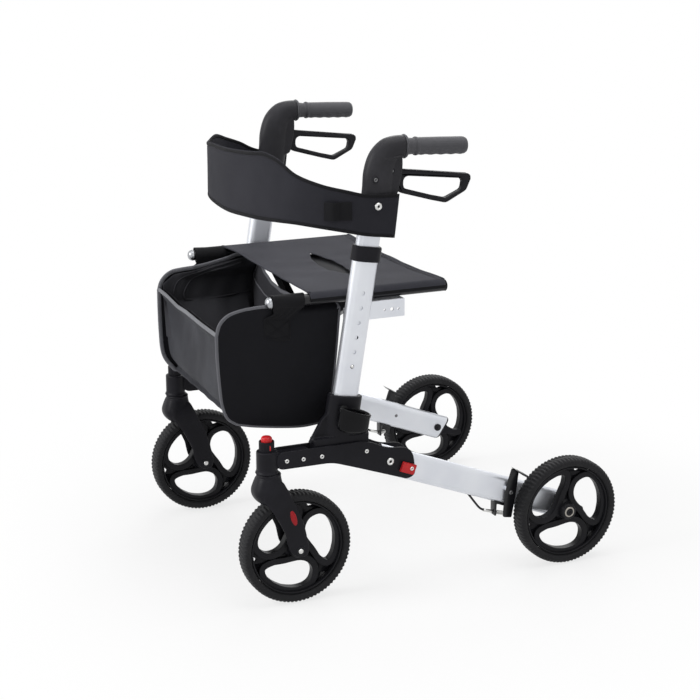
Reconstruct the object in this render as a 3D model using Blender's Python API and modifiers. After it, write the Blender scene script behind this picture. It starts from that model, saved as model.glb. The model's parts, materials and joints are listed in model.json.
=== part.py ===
"""Folding four-wheeled walker with a seat, a bag, a backrest strap and loop brakes.

Two side frames stand on swivelling front wheels and folding rear legs. A crossed pair of braces
under the seat lets the frames close sideways, and each rear leg swings up beside its post.
X runs to the user's left, Y rearwards and Z up. Lengths are in metres.
"""

import math

import bmesh
import bpy
import numpy as np
from mathutils import Matrix, Vector

MM = 0.001

# Wheels and where they stand
WHEEL_RADIUS = 100 * MM
TYRE_WIDTH = 34.5 * MM
TYRE_DEPTH = 16 * MM
WHEEL_BASE = 515 * MM
CASTER_TRAIL = 46.5 * MM
AXLE_RADIUS = 5 * MM
WEB_THICKNESS = 6 * MM
HUB_RADIUS = 17 * MM
GAP_LIP = 7.5 * MM
GAP_LIP_HALF = 6.5 * MM
TYRE_STEPS = 28
WHEEL_STEPS = 24

# Side frames
FRAME_X = 246 * MM
PLATE_GAP = 25 * MM
PLATE_THICKNESS = 4 * MM
PLATE_DEPTH = 34 * MM
LEG_PIVOT_Y = 171 * MM
LEG_DEPTH = 50 * MM
LEG_WIDTH = 22 * MM
PIVOT_RADIUS = 5 * MM

# Leaning posts and the handle tubes that slide in them
POST_X = 240 * MM
POST_LEAN = math.radians(9)
POST_GROUND_Y = 40.3 * MM
POST_DEPTH = 46 * MM
POST_WIDTH = 24 * MM
POST_WALL = 1.6 * MM
HOLE_PITCH = 25.4 * MM
MOST_HOLES = 6
HOLE_RADIUS = 3.6 * MM
TUBE_DEPTH = 42 * MM
TUBE_WIDTH = 20 * MM

# Handles
GRIP_HEIGHT = 777.5 * MM
GRIP_LENGTH = 119 * MM
GRIP_RADIUS = 15 * MM
GRIP_SLOPE = math.radians(-2.5)
LEVER_THICKNESS = 11 * MM

# Seat, fold braces and bag
SEAT_HEIGHT = 522 * MM
RAIL_X = 202 * MM
RAIL_RADIUS = 10 * MM
RAIL_FRONT = -22 * MM
RAIL_REAR = 302 * MM
SEAT_FRONT = 46 * MM
SEAT_REAR = 290 * MM
CLOTH = 2.4 * MM
LUG_X = 215 * MM
BRACE_WIDTH = 22 * MM
BRACE_THICKNESS = 12 * MM
BRACE_Y = 124 * MM
BAG_FRONT = -104 * MM
BAG_REAR = 100 * MM
BAG_HALF = 199 * MM
BAG_SKEW = 24 * MM
BAG_WALL = 3 * MM
LOOP_WIDTH = 28 * MM

# Gaps between pieces
SEAT_GAP = 0.4 * MM
RUN_GAP = 0.8 * MM

# Sizes that follow
PLATE_TOP = 2 * WHEEL_RADIUS + 78 * MM
FRAME_LEVEL = PLATE_TOP - PLATE_DEPTH / 2
LEG_PIVOT = (LEG_PIVOT_Y, PLATE_TOP - 45 * MM)
LUG_Z = PLATE_TOP + 22 * MM
RIM_RADIUS = WHEEL_RADIUS - TYRE_DEPTH
FORK_INNER = TYRE_WIDTH / 2 + 2.5 * MM
FORK_OUTER = FORK_INNER + 7.7 * MM
REAR_WHEEL_X = FRAME_X + LEG_WIDTH / 2 + 6.3 * MM + TYRE_WIDTH / 2
LEG_RUN = (WHEEL_BASE - LEG_PIVOT[0], WHEEL_RADIUS - LEG_PIVOT[1])
LEG_LENGTH = math.hypot(*LEG_RUN)
LEG_HEADING = math.atan2(LEG_RUN[1], LEG_RUN[0])
POST_HEADING = math.pi / 2 - POST_LEAN
SLEEVE_DEPTH = POST_DEPTH + 16 * MM
SLEEVE_WIDTH = POST_WIDTH + 12 * MM
SLEEVE_FOOT = (PLATE_TOP + 5 * MM + SLEEVE_DEPTH / 2 * math.sin(POST_LEAN)) / math.cos(POST_LEAN)
SLEEVE_TOP = SLEEVE_FOOT + 78 * MM
SLEEVE_MIDDLE = (SLEEVE_FOOT + SLEEVE_TOP) / 2
POST_START = SLEEVE_FOOT + 5 * MM
TUBE_END = (GRIP_HEIGHT - 84.1 * MM) / math.cos(POST_LEAN)
POST_END = TUBE_END - 85 * MM
HOLE_TOP = POST_END - 75 * MM
HOLE_COUNT = min(MOST_HOLES, 1 + int((HOLE_TOP - SLEEVE_TOP - 15 * MM) / HOLE_PITCH))
HOLE_START = HOLE_TOP - (HOLE_COUNT - 1) * HOLE_PITCH
TUBE_START = HOLE_START - 19 * MM
GRIP_FRONT_Y = POST_GROUND_Y + TUBE_END * math.sin(POST_LEAN) + 50.9 * MM
ELBOW = (GRIP_FRONT_Y - 45 * MM, GRIP_HEIGHT - 48.5 * MM)
LEVER_PIVOT = (GRIP_FRONT_Y - 25 * MM, GRIP_HEIGHT - 39.5 * MM)
BRACE_RISE = SEAT_HEIGHT - LUG_Z
BRACE_ANGLE = math.atan2(BRACE_RISE, LUG_X + RAIL_X)
BRACE_CENTRE_Z = LUG_Z + BRACE_RISE * LUG_X / (LUG_X + RAIL_X)
BRACE_PITCH = BRACE_THICKNESS + 2 * MM
BAG_TOP = SEAT_HEIGHT - 15 * MM
BAG_BOTTOM = LUG_Z + 2 * MM
FRONT_REACH = BAG_FRONT - 8 * MM
REAR_REACH = WHEEL_BASE + WHEEL_RADIUS
MIDDLE_Y = (FRONT_REACH + REAR_REACH) / 2


# Scene and materials

for old in list(bpy.data.objects):
    bpy.data.objects.remove(old, do_unlink=True)

walker = bpy.data.collections.new("folding_walker")
bpy.context.scene.collection.children.link(walker)


def finish(name, colour, roughness, metallic=0.0):
    """A Principled material."""
    made = bpy.data.materials.new(name)
    made.use_nodes = True
    shader = made.node_tree.nodes["Principled BSDF"]
    shader.inputs["Base Color"].default_value = (*colour, 1)
    shader.inputs["Roughness"].default_value = roughness
    shader.inputs["Metallic"].default_value = metallic
    return made


SILVER = finish("silver_tube", (0.62, 0.63, 0.67), 0.32, 0.85)
BLACK_PLASTIC = finish("black_plastic", (0.022, 0.022, 0.025), 0.5)
BLACK_STEEL = finish("black_steel", (0.018, 0.018, 0.02), 0.38, 0.3)
BRIGHT_STEEL = finish("bright_steel", (0.6, 0.6, 0.6), 0.25, 1.0)
RUBBER = finish("rubber", (0.02, 0.02, 0.021), 0.8)
GRIP_RUBBER = finish("grip_rubber", (0.05, 0.05, 0.055), 0.7)
RED_PLASTIC = finish("red_plastic", (0.6, 0.02, 0.03), 0.35)
CLOTH_BLACK = finish("black_cloth", (0.025, 0.025, 0.028), 0.85)


# Shape helpers


def mesh_object(name, mesh_data):
    made = bpy.data.objects.new(name, mesh_data)
    walker.objects.link(made)
    return made


def from_bmesh(name, work):
    bmesh.ops.recalc_face_normals(work, faces=work.faces)
    data = bpy.data.meshes.new(name)
    work.to_mesh(data)
    work.free()
    return mesh_object(name, data)


def settled(piece):
    """Replace an object by a mesh object that holds its evaluated shape in world space."""
    bpy.context.view_layer.update()
    graph = bpy.context.evaluated_depsgraph_get()
    data = bpy.data.meshes.new_from_object(piece.evaluated_get(graph))
    data.transform(piece.matrix_world)
    work = bmesh.new()
    work.from_mesh(data)
    bmesh.ops.remove_doubles(work, verts=work.verts, dist=0.002 * MM)
    work.to_mesh(data)
    work.free()
    name = piece.name
    bpy.data.objects.remove(piece, do_unlink=True)
    return mesh_object(name, data)


def combine(piece, other, operation):
    """Cut, join or intersect two settled meshes; the second is used up."""
    change = piece.modifiers.new(operation.lower(), "BOOLEAN")
    change.operation = operation
    change.solver = "EXACT"
    change.object = other
    made = settled(piece)
    bpy.data.objects.remove(other, do_unlink=True)
    return made


def cut(piece, *tools):
    for tool in tools:
        piece = combine(piece, tool, "DIFFERENCE")
    return piece


def join(piece, *others):
    for other in others:
        piece = combine(piece, other, "UNION")
    return piece


def oval(depth, width, steps=6):
    """A flat oval: two half circles joined by straight sides, as (u, v) with u along its depth."""
    radius = width / 2
    centre = depth / 2 - radius
    turn = np.linspace(-math.pi / 2, math.pi / 2, steps + 1)
    front = [(centre + radius * math.cos(a), radius * math.sin(a)) for a in turn]
    back = [(-u, -v) for u, v in front]
    return front + back


def circle(radius, steps=12):
    return [
        (radius * math.cos(a), radius * math.sin(a))
        for a in np.linspace(0, 2 * math.pi, steps, endpoint=False)
    ]


def rounded(corners, steps=3):
    """A closed outline through corners (a, b, radius), each corner replaced by an arc."""
    points = []
    count = len(corners)
    for i, (a, b, radius) in enumerate(corners):
        here = Vector((a, b))
        before = (Vector(corners[i - 1][:2]) - here).normalized()
        after = (Vector(corners[(i + 1) % count][:2]) - here).normalized()
        half = before.angle(after) / 2
        if radius <= 0 or half > math.radians(88):
            points.append(tuple(here))
            continue
        reach = radius / math.tan(half)
        middle = here + (before + after).normalized() * (radius / math.sin(half))
        start = here + before * reach - middle
        end = here + after * reach - middle
        sweep = start.angle_signed(end)
        for step in range(steps + 1):
            turn = -sweep * step / steps
            arm = Matrix.Rotation(turn, 2) @ start
            points.append(tuple(middle + arm))
    return points


def loft(name, rings, closed=False):
    """A skin over rings of equally many points, capped at both ends or closed on itself."""
    work = bmesh.new()
    rows = [[work.verts.new(point) for point in ring] for ring in rings]
    pairs = list(zip(rows, rows[1:]))
    if closed:
        pairs.append((rows[-1], rows[0]))
    for low, high in pairs:
        for i in range(len(low)):
            j = (i + 1) % len(low)
            work.faces.new((low[i], low[j], high[j], high[i]))
    if not closed:
        work.faces.new(rows[0][::-1])
        work.faces.new(rows[-1])
    return from_bmesh(name, work)


def ring(at, heading, outline, x):
    """An outline square across a heading in the side plane: u lies across it, v along X."""
    across = (-math.sin(heading), math.cos(heading))
    return [
        Vector((x + v, at[0] + u * across[0], at[1] + u * across[1])) for u, v in outline
    ]


def along(start, heading, distance, offset=0.0):
    """The side-plane point a distance along a heading, and an offset to its left."""
    return (
        start[0] + distance * math.cos(heading) - offset * math.sin(heading),
        start[1] + distance * math.sin(heading) + offset * math.cos(heading),
    )


def bar(name, start, heading, length, outline, x):
    end = along(start, heading, length)
    return loft(name, [ring(start, heading, outline, x), ring(end, heading, outline, x)])


def pipe(name, start, heading, length, outer, inner, x):
    """An open tube with outlines for its outside and its bore."""
    end = along(start, heading, length)
    rings = [
        ring(start, heading, outer, x),
        ring(end, heading, outer, x),
        ring(end, heading, inner, x),
        ring(start, heading, inner, x),
    ]
    return loft(name, rings, closed=True)


SIDE_PLANE = (math.pi / 2, 0, math.pi / 2)
FRONT_PLANE = (math.pi / 2, 0, 0)


def wound(points, sense):
    """The same outline, run anticlockwise for a sense of 1 and clockwise for -1."""
    area = sum(a[0] * b[1] - b[0] * a[1] for a, b in zip(points, points[1:] + points[:1]))
    return points if area * sense > 0 else points[::-1]


def slab(name, outline, low, high, plane=SIDE_PLANE, holes=(), chamfer=0.0):
    """A flat outline with holes, extruded along X from low to high, or along Y in the front plane.

    A chamfer takes the edges off both faces, as the radius of a moulding does.
    """
    flat = bpy.data.curves.new(name, "CURVE")
    flat.dimensions = "2D"
    flat.fill_mode = "BOTH"
    flat.extrude = abs(high - low) / 2 - chamfer
    flat.bevel_depth = chamfer
    flat.bevel_resolution = 0
    flat.offset = -chamfer
    for points in (wound(outline, 1), *(wound(hole, -1) for hole in holes)):
        spline = flat.splines.new("POLY")
        spline.points.add(len(points) - 1)
        for place, point in zip(spline.points, points):
            place.co = (*point, 0, 1)
        spline.use_cyclic_u = True
    piece = bpy.data.objects.new(name, flat)
    walker.objects.link(piece)
    piece.rotation_euler = plane
    middle = (low + high) / 2
    piece.location = (middle, 0, 0) if plane == SIDE_PLANE else (0, middle, 0)
    return settled(piece)


def turned(name, profile, centre, axis="Z", steps=16, looped=False, phase=0.0):
    """A profile of (radius, height) down its outer side, turned about an axis through a centre."""
    work = bmesh.new()
    start = Vector((math.cos(phase), math.sin(phase), 0))
    points = [work.verts.new(start * radius + Vector((0, 0, height))) for radius, height in profile]
    for low, high in zip(points, points[1:]):
        work.edges.new((low, high))
    if looped:
        work.edges.new((points[-1], points[0]))
    data = bpy.data.meshes.new(name)
    work.to_mesh(data)
    work.free()
    piece = mesh_object(name, data)
    screw = piece.modifiers.new("turn", "SCREW")
    screw.steps = screw.render_steps = steps
    screw.use_merge_vertices = True
    screw.merge_threshold = 0.01 * MM
    piece.rotation_euler = {
        "X": (0, math.pi / 2, 0),
        "Y": (-math.pi / 2, 0, 0),
        "Z": (0, 0, 0),
    }[axis]
    piece.location = centre
    return settled(piece)


def rod(name, radius, low, high, at, axis="X", steps=12):
    """A cylinder along an axis from low to high; ``at`` holds its other two coordinates."""
    bpy.ops.mesh.primitive_cylinder_add(
        vertices=steps, radius=radius, depth=abs(high - low)
    )
    piece = bpy.context.object
    piece.name = name
    for holder in list(piece.users_collection):
        holder.objects.unlink(piece)
    walker.objects.link(piece)
    middle = (low + high) / 2
    if axis == "X":
        piece.rotation_euler = (0, math.pi / 2, 0)
        piece.location = (middle, *at)
    elif axis == "Y":
        piece.rotation_euler = (math.pi / 2, 0, 0)
        piece.location = (at[0], middle, at[1])
    else:
        piece.location = (*at, middle)
    return settled(piece)


def box(name, low, high):
    """A box between two opposite corners."""
    work = bmesh.new()
    bmesh.ops.create_cube(work, size=1)
    size = Vector(high) - Vector(low)
    bmesh.ops.scale(work, vec=size, verts=work.verts)
    bmesh.ops.translate(work, vec=(Vector(high) + Vector(low)) / 2, verts=work.verts)
    return from_bmesh(name, work)


# Bodies: an empty on each joint's axis carries the pieces that move together

bodies = {}
nodes = {}
ARM_PIVOT = along(LEG_PIVOT, LEG_HEADING, LEG_LENGTH - WHEEL_RADIUS - 20.3 * MM, 6 * MM)


def body(name, at=(0, 0, 0), parent=None):
    empty = bpy.data.objects.new("at_" + name, None)
    walker.objects.link(empty)
    empty.location = at
    bpy.context.view_layer.update()
    if parent:
        empty.parent = bodies[parent]
        empty.matrix_parent_inverse = bodies[parent].matrix_world.inverted()
    bodies[name] = empty
    bpy.context.view_layer.update()


def give(piece, name, carrier, material):
    """Name a finished piece, give it its material and hang it on its body."""
    piece.name = name
    piece.data.name = name
    piece.data.materials.clear()
    piece.data.materials.append(material)
    piece.data.shade_smooth()
    piece.data.set_sharp_from_angle(angle=math.radians(35))
    piece.parent = bodies[carrier]
    piece.matrix_parent_inverse = bodies[carrier].matrix_world.inverted()
    nodes[name] = piece


def pair(piece, name, carrier, material, handed=True):
    """A left piece and its right twin, mirrored, or only moved across where it has no hand."""
    give(piece, "left_" + name, "left_" + carrier, material)
    twin = bpy.data.objects.new("right_" + name, piece.data)
    walker.objects.link(twin)
    if handed:
        twin.scale = (-1, 1, 1)
    else:
        centre = sum((Vector(corner) for corner in piece.bound_box), Vector()) / 8
        twin.location = (-2 * centre.x, 0, 0)
    twin.parent = bodies["right_" + carrier]
    twin.matrix_parent_inverse = bodies["right_" + carrier].matrix_world.inverted()
    nodes[twin.name] = twin


body("walker")
body("left_frame", parent="walker")
body("brace_a", (LUG_X, BRACE_Y, LUG_Z), "left_frame")
body("brace_b", (0, BRACE_Y, BRACE_CENTRE_Z), "brace_a")
body("right_frame", (-LUG_X, BRACE_Y, LUG_Z), "brace_b")
body("seat_cloth", (RAIL_X, 0, SEAT_HEIGHT), "brace_b")
for side, sign in (("left", 1), ("right", -1)):
    frame = side + "_frame"
    top = along((POST_GROUND_Y, 0), POST_HEADING, POST_END)
    snap = along((POST_GROUND_Y, 0), POST_HEADING, HOLE_START)
    body(side + "_handle", (sign * POST_X, *top), frame)
    body(side + "_snap", (sign * POST_X, *snap), side + "_handle")
    body(side + "_lever", (sign * POST_X, *LEVER_PIVOT), side + "_handle")
    body(side + "_caster", (sign * FRAME_X, -CASTER_TRAIL, FRAME_LEVEL), frame)
    body(side + "_front_wheel", (sign * FRAME_X, 0, WHEEL_RADIUS), side + "_caster")
    body(side + "_caster_button", (sign * FRAME_X, -CASTER_TRAIL, PLATE_TOP), frame)
    body(side + "_rear_leg", (sign * FRAME_X, *LEG_PIVOT), frame)
    body(side + "_latch", (sign * FRAME_X, *LEG_PIVOT), frame)
    rear_centre = (sign * REAR_WHEEL_X, WHEEL_BASE, WHEEL_RADIUS)
    body(side + "_rear_wheel", rear_centre, side + "_rear_leg")
    body(side + "_brake_arm", (sign * FRAME_X, *ARM_PIVOT), side + "_rear_leg")


def post_at(distance, offset=0.0):
    """A side-plane point on the post's centre line, and an offset forwards of it."""
    return along((POST_GROUND_Y, 0), POST_HEADING, distance, offset)


def leg_at(distance, offset=0.0):
    """A side-plane point on the rear leg's centre line, and an offset above it."""
    return along(LEG_PIVOT, LEG_HEADING, distance, offset)


# Wheels

OPENING = (
    (72.5, 0), (73.5, 20), (73.5, 38), (69, 52), (57, 61), (42, 64), (31, 57), (25.5, 38), (26, 18),
    (31, -1.5), (40, -17.5), (52, -28), (65.5, -29.5), (71, -18),
)


def opening_outline(centre, turn, margin=0.0):
    """One comma-shaped gap between two swirled spokes, from radius and angle about the hub."""
    scale = RIM_RADIUS / 84
    points = [
        Vector((radius * math.cos(math.radians(angle) + turn), radius * math.sin(math.radians(angle) + turn)))
        for radius, angle in OPENING
    ]
    made = []
    for i, point in enumerate(points):
        ahead = (points[(i + 1) % len(points)] - points[i - 1]).normalized()
        outward = Vector((ahead.y, -ahead.x)) * margin
        made.append((centre[1] + point.x * scale + outward.x, centre[2] + point.y * scale + outward.y))
    return made


def wheel(name, centre, hub_half):
    """A moulded wheel: rim channel, thin web with three lipped comma-shaped gaps, and a bored hub."""
    rim = RIM_RADIUS - SEAT_GAP
    lip = rim - RIM_RADIUS / 12
    rim_half = TYRE_WIDTH / 2 - 4 * MM
    web = WEB_THICKNESS / 2
    bore = AXLE_RADIUS + SEAT_GAP
    upper = [
        (bore, hub_half), (HUB_RADIUS, hub_half), (HUB_RADIUS + 2 * MM, web),
        (lip - 2 * MM, web), (lip, rim_half), (rim, rim_half),
    ]
    profile = upper + [(radius, -height) for radius, height in reversed(upper)]
    piece = turned(name, profile, centre, "X", WHEEL_STEPS, looped=True)
    turns = [number * 2 * math.pi / 3 for number in range(3)]
    for turn in turns:
        outline = opening_outline(centre, turn, GAP_LIP)
        piece = join(piece, slab("lip", outline, centre[0] - GAP_LIP_HALF, centre[0] + GAP_LIP_HALF))
    for turn in turns:
        outline = opening_outline(centre, turn)
        piece = cut(piece, slab("gap", outline, centre[0] - TYRE_WIDTH, centre[0] + TYRE_WIDTH))
    return piece


def tyre(name, centre):
    """A solid tyre whose facets touch the true radius, so that it stands on a flat one."""
    half = TYRE_WIDTH / 2
    half_facet = math.pi / TYRE_STEPS
    tread = WHEEL_RADIUS / math.cos(half_facet)
    seat = RIM_RADIUS / math.cos(half_facet)
    upper = [
        (seat, half - 3.5 * MM), (tread - TYRE_DEPTH * 0.7, half),
        (tread - TYRE_DEPTH * 0.28, half - 1.2 * MM), (tread, half - 7 * MM),
    ]
    profile = upper + [(radius, -height) for radius, height in reversed(upper)]
    return turned(name, profile, centre, "X", TYRE_STEPS, looped=True, phase=half_facet)


front_centre = (FRAME_X, 0, WHEEL_RADIUS)
rear_centre = (REAR_WHEEL_X, WHEEL_BASE, WHEEL_RADIUS)
front_hub = FORK_INNER - RUN_GAP
rear_hub = TYRE_WIDTH / 2
for name, centre, hub_half, carrier in (
    ("caster", front_centre, front_hub, "front_wheel"),
    ("rear", rear_centre, rear_hub, "rear_wheel"),
):
    pair(wheel(name, centre, hub_half), name + "_wheel", carrier, BLACK_PLASTIC, handed=False)
    pair(tyre(name, centre), name + "_tyre", carrier, RUBBER, handed=False)

# Caster forks, with their stems, and the bolts that carry the front wheels

fork_bottom = FRAME_LEVEL - PLATE_DEPTH / 2 - 6 * MM
crown = 2 * WHEEL_RADIUS + 4 * MM
leg_outline = rounded([
    (-CASTER_TRAIL - 20 * MM, fork_bottom, 3 * MM),
    (-CASTER_TRAIL + 21 * MM, fork_bottom, 5 * MM),
    (-CASTER_TRAIL + 28 * MM, crown, 22 * MM),
    (11 * MM, WHEEL_RADIUS + 52 * MM, 30 * MM),
    (14 * MM, WHEEL_RADIUS - 13 * MM, 13 * MM),
    (-13 * MM, WHEEL_RADIUS - 13 * MM, 13 * MM),
    (-16 * MM, WHEEL_RADIUS + 26 * MM, 24 * MM),
    (-CASTER_TRAIL - 6 * MM, WHEEL_RADIUS + 76 * MM, 30 * MM),
    (-CASTER_TRAIL - 32 * MM, crown - 2 * MM, 15 * MM),
    (-CASTER_TRAIL - 31 * MM, fork_bottom - 5 * MM, 14 * MM),
], 2)
head_outline = rounded([
    (-CASTER_TRAIL - 20 * MM, fork_bottom, 3 * MM),
    (-CASTER_TRAIL + 21 * MM, fork_bottom, 5 * MM),
    (-CASTER_TRAIL + 27 * MM, crown, 3 * MM),
    (-CASTER_TRAIL - 20 * MM, crown, 3 * MM),
    (-CASTER_TRAIL - 31 * MM, crown + 3 * MM, 10 * MM),
    (-CASTER_TRAIL - 31 * MM, fork_bottom - 5 * MM, 14 * MM),
], 2)
fork_edge = 2 * MM
fork = slab("fork", leg_outline, FRAME_X + FORK_INNER, FRAME_X + FORK_OUTER, chamfer=fork_edge)
fork = join(
    fork,
    slab("head", head_outline, FRAME_X - FORK_INNER - fork_edge, FRAME_X + FORK_INNER + fork_edge),
    slab("far leg", leg_outline, FRAME_X - FORK_OUTER, FRAME_X - FORK_INNER, chamfer=fork_edge),
    turned(
        "stem",
        [
            (0, FRAME_LEVEL + 14 * MM), (8 * MM, FRAME_LEVEL + 14 * MM), (8 * MM, fork_bottom + 1 * MM),
            (21 * MM, fork_bottom + 1 * MM), (23 * MM, fork_bottom - 12 * MM), (0, fork_bottom - 12 * MM),
        ],
        (FRAME_X, -CASTER_TRAIL, 0),
    ),
)
bolt_at = (0, WHEEL_RADIUS)
bolt_hole = AXLE_RADIUS + SEAT_GAP
fork = cut(fork, rod("hole", bolt_hole, FRAME_X - 40 * MM, FRAME_X + 40 * MM, bolt_at))
pair(fork, "caster_fork", "caster", BLACK_PLASTIC)


def headed_bolt(name, radius, low, high, head, at):
    """A bolt along X with a round head at each end."""
    thick = 3.5 * MM
    profile = [
        (0, high + thick), (head * 0.75, high + thick), (head, high + thick * 0.4), (head, high),
        (radius, high), (radius, low), (head, low), (head, low - thick), (0, low - thick),
    ]
    return turned(name, profile, (0, *at), "X", 12)


side_gap = 0.3 * MM
axle = headed_bolt(
    "axle", AXLE_RADIUS, FRAME_X - FORK_OUTER - side_gap, FRAME_X + FORK_OUTER + side_gap, 8 * MM, bolt_at
)
pair(axle, "caster_axle", "caster", BRIGHT_STEEL)

# Caster housings: a barrel that holds the fork's stem, with an arm between the side plates

barrel_top = PLATE_TOP + 19 * MM
barrel_bottom = fork_bottom + 2 * MM
pocket = barrel_top - 14 * MM
housing = turned(
    "housing",
    [
        (0, barrel_top), (12.6 * MM, barrel_top), (13.2 * MM, barrel_top - 1 * MM),
        (13.2 * MM, PLATE_TOP + 2 * MM), (18 * MM, PLATE_TOP), (18 * MM, barrel_bottom + 3 * MM),
        (20 * MM, barrel_bottom), (0, barrel_bottom),
    ],
    (FRAME_X, -CASTER_TRAIL, 0),
)
arm_half = PLATE_GAP / 2 - 0.5 * MM
arm = rounded([
    (-CASTER_TRAIL, PLATE_TOP - 3 * MM, 0), (28 * MM, PLATE_TOP - 3 * MM, 6 * MM),
    (28 * MM, PLATE_TOP - PLATE_DEPTH + 3 * MM, 6 * MM), (-CASTER_TRAIL, PLATE_TOP - PLATE_DEPTH + 3 * MM, 0),
])
housing = join(housing, slab("arm", arm, FRAME_X - arm_half, FRAME_X + arm_half))
caster_at = (FRAME_X, -CASTER_TRAIL)
housing = cut(
    housing,
    rod("bore", 8 * MM + SEAT_GAP, fork_bottom - 5 * MM, FRAME_LEVEL + 15 * MM, caster_at, "Z", 16),
    rod("pocket", 10.2 * MM, pocket, barrel_top + 5 * MM, caster_at, "Z", 16),
)
pair(housing, "caster_housing", "frame", BLACK_PLASTIC)

button = turned(
    "button",
    [
        (0, barrel_top + 8.5 * MM), (7 * MM, barrel_top + 8 * MM), (9.6 * MM, barrel_top + 5.5 * MM),
        (9.6 * MM, pocket + 5.5 * MM), (0, pocket + 5.5 * MM),
    ],
    (FRAME_X, -CASTER_TRAIL, 0),
)
pair(button, "caster_button", "caster_button", RED_PLASTIC)

# Side plates: two long plates clamp the caster arm, the socket and the rear leg

lobe = (LEG_PIVOT[0] + 21 * MM, LEG_PIVOT[1] - 5 * MM)
plate_outline = rounded([
    (-CASTER_TRAIL + 16.5 * MM, PLATE_TOP - 0.5 * MM, 13 * MM),
    (LEG_PIVOT[0] - 41 * MM, PLATE_TOP, 50 * MM),
    (LEG_PIVOT[0] - 6 * MM, LEG_PIVOT[1] + 27 * MM, 30 * MM),
    (lobe[0] + 24 * MM, lobe[1] + 27 * MM, 22 * MM),
    (lobe[0] + 30 * MM, lobe[1] - 25 * MM, 13 * MM),
    (lobe[0] + 14 * MM, lobe[1] - 31 * MM, 10 * MM),
    (LEG_PIVOT[0] - 66 * MM, PLATE_TOP - PLATE_DEPTH - 11 * MM, 40 * MM),
    (LEG_PIVOT[0] / 2, PLATE_TOP - PLATE_DEPTH - 2 * MM, 30 * MM),
    (-CASTER_TRAIL + 16.5 * MM, PLATE_TOP - PLATE_DEPTH - 1 * MM, 13 * MM),
])
plate_in = FRAME_X + PLATE_GAP / 2
plate_out = plate_in + PLATE_THICKNESS
outer_plate = slab("outer", plate_outline, plate_in, plate_out, chamfer=1 * MM)
inner_face = 2 * FRAME_X - plate_out
outer_plate = join(
    outer_plate,
    rod("pivot bolt", PIVOT_RADIUS, inner_face - 2.5 * MM, plate_out - 1 * MM, LEG_PIVOT),
)
pair(outer_plate, "side_plate_outer", "frame", BLACK_PLASTIC)
inner_plate = slab("inner", plate_outline, inner_face, 2 * FRAME_X - plate_in)
pivot_hole = rod("hole", PIVOT_RADIUS + SEAT_GAP, inner_face - 5 * MM, FRAME_X, LEG_PIVOT)
pair(cut(inner_plate, pivot_hole), "side_plate_inner", "frame", BLACK_PLASTIC)

# Base sockets: a sleeve round the post's foot, a gusset, a cane cup and a lug for a fold brace

block_rear = LEG_PIVOT[0] - 34 * MM
block_front = block_rear - 103 * MM
cup_foot = PLATE_TOP + 25 * MM
cup_top = cup_foot + 43 * MM
cup_depth = 52 * MM
cup_width = 28 * MM
cup_x = POST_X + (SLEEVE_WIDTH + cup_width) / 2 - 1 * MM


def base_socket(brace_y):
    """The moulded foot of a post; ``brace_y`` is the middle of the brace that its lug holds."""
    sleeve_y, sleeve_z = post_at(SLEEVE_MIDDLE)
    socket = bar(
        "socket", post_at(SLEEVE_FOOT), POST_HEADING, SLEEVE_TOP - SLEEVE_FOOT,
        oval(SLEEVE_DEPTH, SLEEVE_WIDTH), POST_X,
    )
    gusset = rounded([
        (sleeve_y - 20 * MM, sleeve_z, 0), (block_front - 8 * MM, PLATE_TOP + 3 * MM, 0),
        (block_rear, PLATE_TOP + 3 * MM, 4 * MM), (sleeve_y + 26 * MM, PLATE_TOP + 36 * MM, 0),
    ])
    block = rounded([
        (block_front, PLATE_TOP + 5 * MM, 0), (block_front, PLATE_TOP - PLATE_DEPTH + 4 * MM, 6 * MM),
        (block_rear, PLATE_TOP - PLATE_DEPTH - 2 * MM, 8 * MM), (block_rear, PLATE_TOP + 5 * MM, 0),
    ])
    socket = join(
        socket,
        slab("gusset", gusset, POST_X - 11 * MM, POST_X + 14 * MM),
        slab("block", block, FRAME_X - arm_half, FRAME_X + arm_half),
    )
    cup_offset = -8 * MM
    socket = join(socket, bar(
        "cup", post_at(cup_foot, cup_offset), POST_HEADING, cup_top - cup_foot, oval(cup_depth, cup_width), cup_x,
    ))
    half = BRACE_THICKNESS / 2 + 0.7 * MM
    ear = 4.5 * MM
    lug_half = BRACE_WIDTH / 2
    lug = rounded([
        (LUG_X - lug_half, LUG_Z - lug_half, 10.5 * MM), (POST_X, LUG_Z - lug_half - 5 * MM, 0),
        (POST_X, LUG_Z + lug_half + 5 * MM, 0), (LUG_X - lug_half, LUG_Z + lug_half, 10.5 * MM),
    ])
    web_low = LUG_X + lug_half + 3.5 * MM
    socket = join(
        socket,
        box(
            "web", (web_low, post_at(LUG_Z)[0] + 5 * MM, LUG_Z - lug_half - 5 * MM),
            (POST_X + 2 * MM, brace_y + half + ear, LUG_Z + lug_half + 5 * MM),
        ),
        slab("ear", lug, brace_y - half - ear, brace_y - half, FRONT_PLANE),
        slab("ear", lug, brace_y + half, brace_y + half + ear, FRONT_PLANE),
        rod("pin", 4 * MM, brace_y - half - 1 * MM, brace_y + half + 1 * MM, (LUG_X, LUG_Z), "Y"),
    )
    wall = 3 * MM
    return cut(
        socket,
        bar(
            "bore", post_at(POST_START - SEAT_GAP), POST_HEADING, 2 * (SLEEVE_TOP - SLEEVE_FOOT),
            oval(POST_DEPTH + 2 * SEAT_GAP, POST_WIDTH + 2 * SEAT_GAP), POST_X,
        ),
        bar(
            "cup bore", post_at(cup_foot + 5 * MM, cup_offset), POST_HEADING, cup_top - cup_foot,
            oval(cup_depth - 2 * wall, cup_width - 2 * wall), cup_x,
        ),
    )


give(base_socket(BRACE_Y), "left_base_socket", "left_frame", BLACK_PLASTIC)
right_socket = base_socket(BRACE_Y + BRACE_PITCH)
right_socket.data.transform(Matrix.Scale(-1, 4, (1, 0, 0)))
right_socket.data.flip_normals()
give(right_socket, "right_base_socket", "right_frame", BLACK_PLASTIC)

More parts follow.
